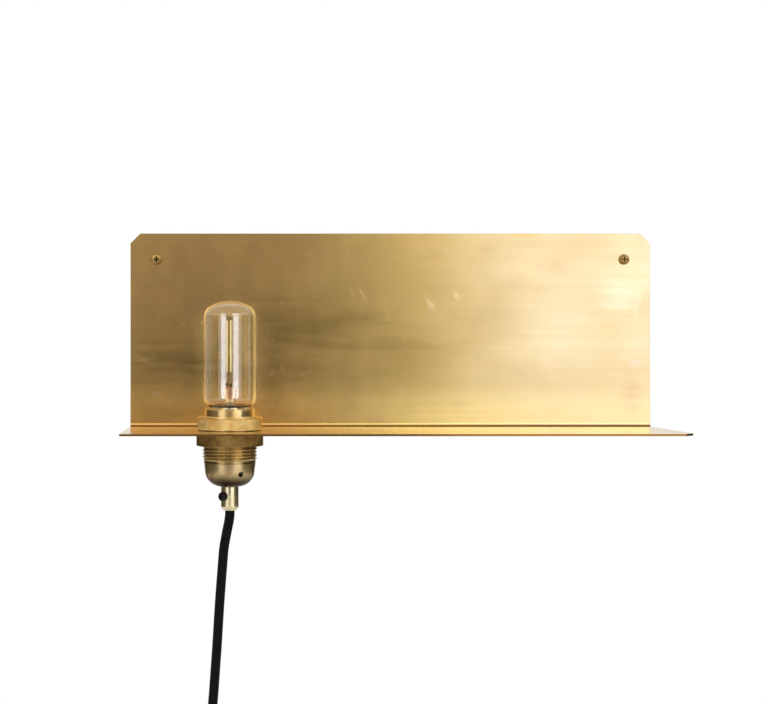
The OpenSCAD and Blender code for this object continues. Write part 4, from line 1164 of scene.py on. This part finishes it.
@dataclass
class Holder:
    """The threaded lampholder, its two rings, its cap and the cord grip."""

    places: Places
    finishes: Finishes
    thread_r: float = 20.0
    thread_depth: float = 1.0
    pitch: float = 2.4
    seam: float = -23.5
    rim: float = 9.5
    dome_x: float = 6.3
    dome_z: float = -29.0
    dome_r: float = 12.0
    dome_wall: float = 1.0
    hole_r: float = 1.9
    hole_turn: float = 26.0
    hole_z: float = -31.0
    barrel_top: float = -41.0
    ring_edge: float = 1.0
    knurl_depth: float = 0.28
    knurl_round: int = 120
    knurl_mm: float = 1.6

    def build(self) -> None:
        """Makes every visible piece of the holder and dresses those inside."""
        wall = Body.WALL
        self.finishes.settle(self.skirt(), wall, "turned_brass", "skirt_brass", "lampholder_skirt")
        self.finishes.settle(self.ring("upper_knurled_ring", 23.75, 0.0, 10.0), Body.UPPER_RING, "turned_brass",
                             "upper_ring_brass", "upper_shade_ring")
        self.finishes.settle(self.ring("lower_knurled_ring", 24.5, -11.2, -1.5), Body.LOWER_RING, "turned_brass",
                             "lower_ring_brass", "lower_shade_ring")
        self.finishes.settle(self.cap(), wall, "turned_brass", "dome_brass", "lampholder_cap")
        self.finishes.settle(self.grip(), wall, "turned_brass", "grip_brass", "cord_grip")
        screw = copy_of("grip_set_screw", "set_screw", 0.3 * MM, 2, 40.0)
        self.finishes.settle(screw, Body.GRIP_SCREW, "black_plastic", "black_screw")
        self.finishes.dress_nodes(
            porcelain_insert="glazed_porcelain", screw_shell="stamped_brass", centre_contact="stamped_brass",
            terminal_blocks="stamped_brass", terminal_screws="zinc_plate", earth_strap="zinc_plate",
            insert_screws="zinc_plate", earth_screw="stamped_brass", entry_nut="zinc_plate",
            cord_end_in_grip="black_webbing", live_core="brown_pvc", neutral_core="blue_pvc", earth_core="green_pvc")

    def skirt(self) -> Piece:
        """Makes the skirt: a helical V thread whose depth eases to nothing at both ends, under a smooth rim.

        Returns:
            The new piece.
        """
        z = np.arange(self.seam, self.rim + 0.01, 0.2)
        a = np.linspace(0, 2 * np.pi, 160, endpoint=False)
        phase = (z[:, None] - self.pitch * a[None] / (2 * np.pi)) / self.pitch
        ridge = smooth_step((1 - np.abs(2 * (phase - np.floor(phase)) - 1)) * 1.15)
        fade = smooth_step((z - self.seam - 1.6) / 1.6) * smooth_step((self.rim - 0.2 - z) / 1.5)
        r = self.thread_r - self.thread_depth + self.thread_depth * 0.98 * ridge * fade[:, None]
        rest = rounded_profile([(19.0, self.rim, 0), (18.25, 10.0, 0.3), (18.2, 15.4, 0.5), (17.4, 15.4, 0.3),
                                (17.4, -22.5, 0.2), (16.2, -22.5, 0), (16.2, -28.5, 0), (17.2, -28.5, 0),
                                (17.2, self.seam, 0), (19.0, self.seam, 0)]) / MM
        return self.places.axis.band("threaded_skirt", r, z, rest)

    def ring(self, name: str, radius: float, low: float, high: float) -> Piece:
        """Makes a knurled ring: two crossing sets of V grooves leave rows of small diamonds between plain edges.

        Args:
            name: The piece's name.
            radius: The ring's outer radius, in millimetres.
            low: Its lower face's height.
            high: Its upper face's height.

        Returns:
            The new piece.
        """
        a = np.linspace(0, 2 * np.pi, self.knurl_round * 6, endpoint=False)
        z = np.linspace(low + self.ring_edge, high - self.ring_edge, 40)
        turn = self.knurl_round * a[None] / (2 * np.pi)
        climb = z[:, None] / self.knurl_mm
        grooves = [np.abs(2 * (way - np.floor(way)) - 1) for way in (turn + climb, turn - climb)]
        edge = smooth_step(np.minimum(z - z[0], z[-1] - z) / 0.35)[:, None]
        r = radius - edge * (0.04 + self.knurl_depth * np.maximum(*grooves) ** 1.3)
        bore = self.thread_r + 0.35
        rest = rounded_profile([(radius, high - self.ring_edge, 0), (radius, high, 0.45), (bore, high, 0.3),
                                (bore, low, 0.3), (radius, low, 0.45), (radius, low + self.ring_edge, 0)]) / MM
        return self.places.axis.band(name, r, z, rest)

    def cap(self) -> Piece:
        """Makes the domed cap: an upright wall that curls in a quarter circle to a flat end, with a hole drilled
        in its side.

        Returns:
            The new piece.
        """
        t = np.linspace(0, np.pi / 2, 14)
        outer, inner = (np.stack([self.dome_x + r * np.cos(t), self.dome_z - r * np.sin(t)], -1)
                        for r in (self.dome_r, self.dome_r - self.dome_wall))
        lip = rounded_profile([(17.3, self.dome_z, 0), (17.9, self.seam, 0.2), (18.9, self.seam, 0.35),
                               (18.3, self.dome_z, 0)]) / MM
        mouth = np.array([[5.2, -41.0], [5.2, -40.0]])
        loop = np.concatenate([lip[1:-1], outer, mouth, inner[::-1]]) * MM
        shell = self.places.axis.revolve("domed_cap", loop, True, 128)
        turn = math.radians(self.hole_turn)
        bpy.ops.mesh.primitive_cylinder_add(
            vertices=40, radius=self.hole_r * MM, depth=10 * MM, rotation=(math.radians(90), 0, turn),
            location=tuple(self.places.at(17.5 * math.sin(turn), -17.5 * math.cos(turn), self.hole_z)))
        cut_with(shell, bpy.context.active_object)
        return shell

    def grip(self) -> Piece:
        """Makes the cord grip: a turned barrel with a long chamfer at its foot and a nipple into the cap."""
        end, top = self.places.grip_end, self.barrel_top
        loop = rounded_profile([(3.6, end, 0.2), (4.9, end, 0.4), (6.45, -56.0, 0.5), (6.45, top, 0.35),
                                (5.0, top, 0), (5.0, -36.5, 0.2), (3.6, -36.5, 0.2)], True)
        return self.places.axis.revolve("grip_barrel", loop, True, 72)


@dataclass
class Bulb:
    """The tube bulb with its glass, stem, leads and two filaments."""

    places: Places
    finishes: Finishes
    radius: float = 19.25
    top: float = 94.5
    crown_h: float = 11.9
    corner_r: float = 9.5
    foot: float = 16.6
    foot_r: float = 7.0
    neck_r: float = 12.4
    wall: float = 0.9
    filament_x: tuple[float, float] = (-2.1, 0.7)
    filament_z: tuple[float, float] = (42.3, 80.3)
    lead_y: float = 0.02

    def outline(self, inset: float) -> np.ndarray:
        """Gives half of the glass's outline from the neck to the crown, moved inwards by an inset.

        Args:
            inset: How far inside the outer surface, in millimetres.

        Returns:
            Radius and height, in millimetres.
        """
        foot_x, foot_z = self.radius - self.foot_r, self.foot + self.foot_r
        near = self.neck_r - inset - foot_x
        lift = math.sqrt((self.foot_r - inset) ** 2 - near**2)
        t = np.linspace(math.atan2(-lift, near), 0, 24)
        foot = np.stack([foot_x + (self.foot_r - inset) * np.cos(t), foot_z + (self.foot_r - inset) * np.sin(t)], -1)
        side = self.radius - self.corner_r
        crown = (side**2 + self.crown_h**2 - self.corner_r**2) / (2 * (self.crown_h - self.corner_r))
        lean = math.atan2(crown - self.crown_h, side)
        bend = self.corner_r - inset
        t = np.linspace(0, lean, 18)
        shoulder = np.stack([side + bend * np.cos(t), self.top - self.crown_h + bend * np.sin(t)], -1)
        t = np.linspace(lean, np.pi / 2, 24)[1:]
        cap = np.stack([(crown - inset) * np.cos(t), self.top - crown + (crown - inset) * np.sin(t)], -1)
        neck = np.array([[self.neck_r - inset, 2.0], [self.neck_r - inset, 10.0]])
        return np.concatenate([neck, foot, shoulder, cap])

    def build(self) -> list[Piece]:
        """Makes the bulb's visible pieces and dresses those inside its cap.

        Returns:
            The pieces of clear glass.
        """
        loop = np.concatenate([self.outline(0.0), self.outline(self.wall)[::-1]]) * MM
        tube_glass = self.places.axis.revolve("tube_glass", loop, True, 128)
        glass = self.finishes.settle(tube_glass, Body.BULB, "bulb_glass", "bulb_glass", "bulb_glass")
        stem = self.finishes.settle(self.stem(), Body.BULB, "clear_glass", "stem_glass", "bulb_stem")
        self.inside()
        self.finishes.dress_nodes(bulb_screw_cap="nickel_plate", bulb_cap_glass="vitrite",
                                  bulb_centre_contact="stamped_brass", bulb_driver="circuit_board")
        return [glass, stem]

    def stem(self) -> Piece:
        """Makes the stem: a flare that narrows to a tube, whose round section eases into a flat pinch.

        Returns:
            The new piece.
        """
        z = np.array([2.0, 2.3, 3.0, 4.2, 6.0, 8.5, 11.0, 16.0, 19.5, 22.0, 24.0, 26.0, 28.5, 30.2, 30.8, 31.0])
        wide = np.array([11.4, 11.4, 10.6, 7.6, 5.6, 4.2, 3.7, 3.6, 3.6, 3.9, 4.4, 4.6, 4.6, 4.4, 4.0, 0.0])
        deep = np.array([11.4, 11.4, 10.6, 7.6, 5.6, 4.2, 3.7, 3.6, 3.6, 3.0, 2.2, 1.7, 1.6, 1.5, 1.1, 0.0])
        a = np.linspace(0, 2 * np.pi, 48, endpoint=False)
        wide, deep, z = (np.append(first, rows)[:, None] for first, rows in ((0.0, wide), (0.0, deep), (z[0], z)))
        points = np.stack([wide * np.cos(a), deep * np.sin(a), z + 0 * a], -1) * MM
        return sheet_of("glass_stem", points + self.places.at(0, 0, 0), False, True)

    def inside(self) -> None:
        """Makes the filaments and their leads as tubes along short paths."""
        at, y = self.places.at, self.lead_y
        (left, right), (low, high) = self.filament_x, self.filament_z
        for k, x in enumerate(self.filament_x):
            line = np.array([at(x, 0, z) for z in np.linspace(low, high, 24)])
            rod = tube(f"filament_{k + 1}", line, 0.6 * MM, 16)
            self.finishes.settle(rod, Body.BULB, "filament", "phosphor_coat", "bulb_filaments")
        lines = {
            "lead_left": [(left, low), (left, 40.0), (-2.0, 37.0), (-2.3, 34.0), (-2.2, 31.0)],
            "lead_right": [(right, low), (right, 40.0), (0.9, 37.0), (0.6, 34.0), (0.8, 31.0)],
            "bridge": [(left, high), (left, 81.1), (-1.6, 81.7), (0.2, 81.7), (right, 81.1), (right, high)],
        }
        for name, points in lines.items():
            line = along(np.array([at(x, y, z) for x, z in points]), 6)
            finish = "welded_joint" if name == "bridge" else "lead_wire"
            self.finishes.settle(tube(name, line, 0.32 * MM, 10), Body.BULB, "steel", finish, "bulb_wires")
        bead = rounded_profile([(0.0, -1.2, 0), (0.75, -1.2, 0.5), (0.8, 1.2, 0.5), (0.0, 1.2, 0)])
        for k, (x, z) in enumerate(((-2.3, 33.4), (0.7, 32.6))):
            joint = Axis(*at(x, y, z)).revolve(f"welded_joint_{k + 1}", bead, False, 16)
            self.finishes.settle(joint, Body.BULB, "steel", "welded_joint", "bulb_wires")


def main() -> None:
    """Builds the camera, the cord and then the rest of the lamp."""
    logging.basicConfig(level=logging.INFO, format="%(name)s %(message)s")
    studio, places, finishes = Studio(), Places(), Finishes()
    studio.set_camera()
    Cord(CordRoute(places), finishes).build()
    Bracket(finishes).build()
    Holder(places, finishes).build()
    studio.build(Bulb(places, finishes).build())


if __name__ == "__main__":
    main()
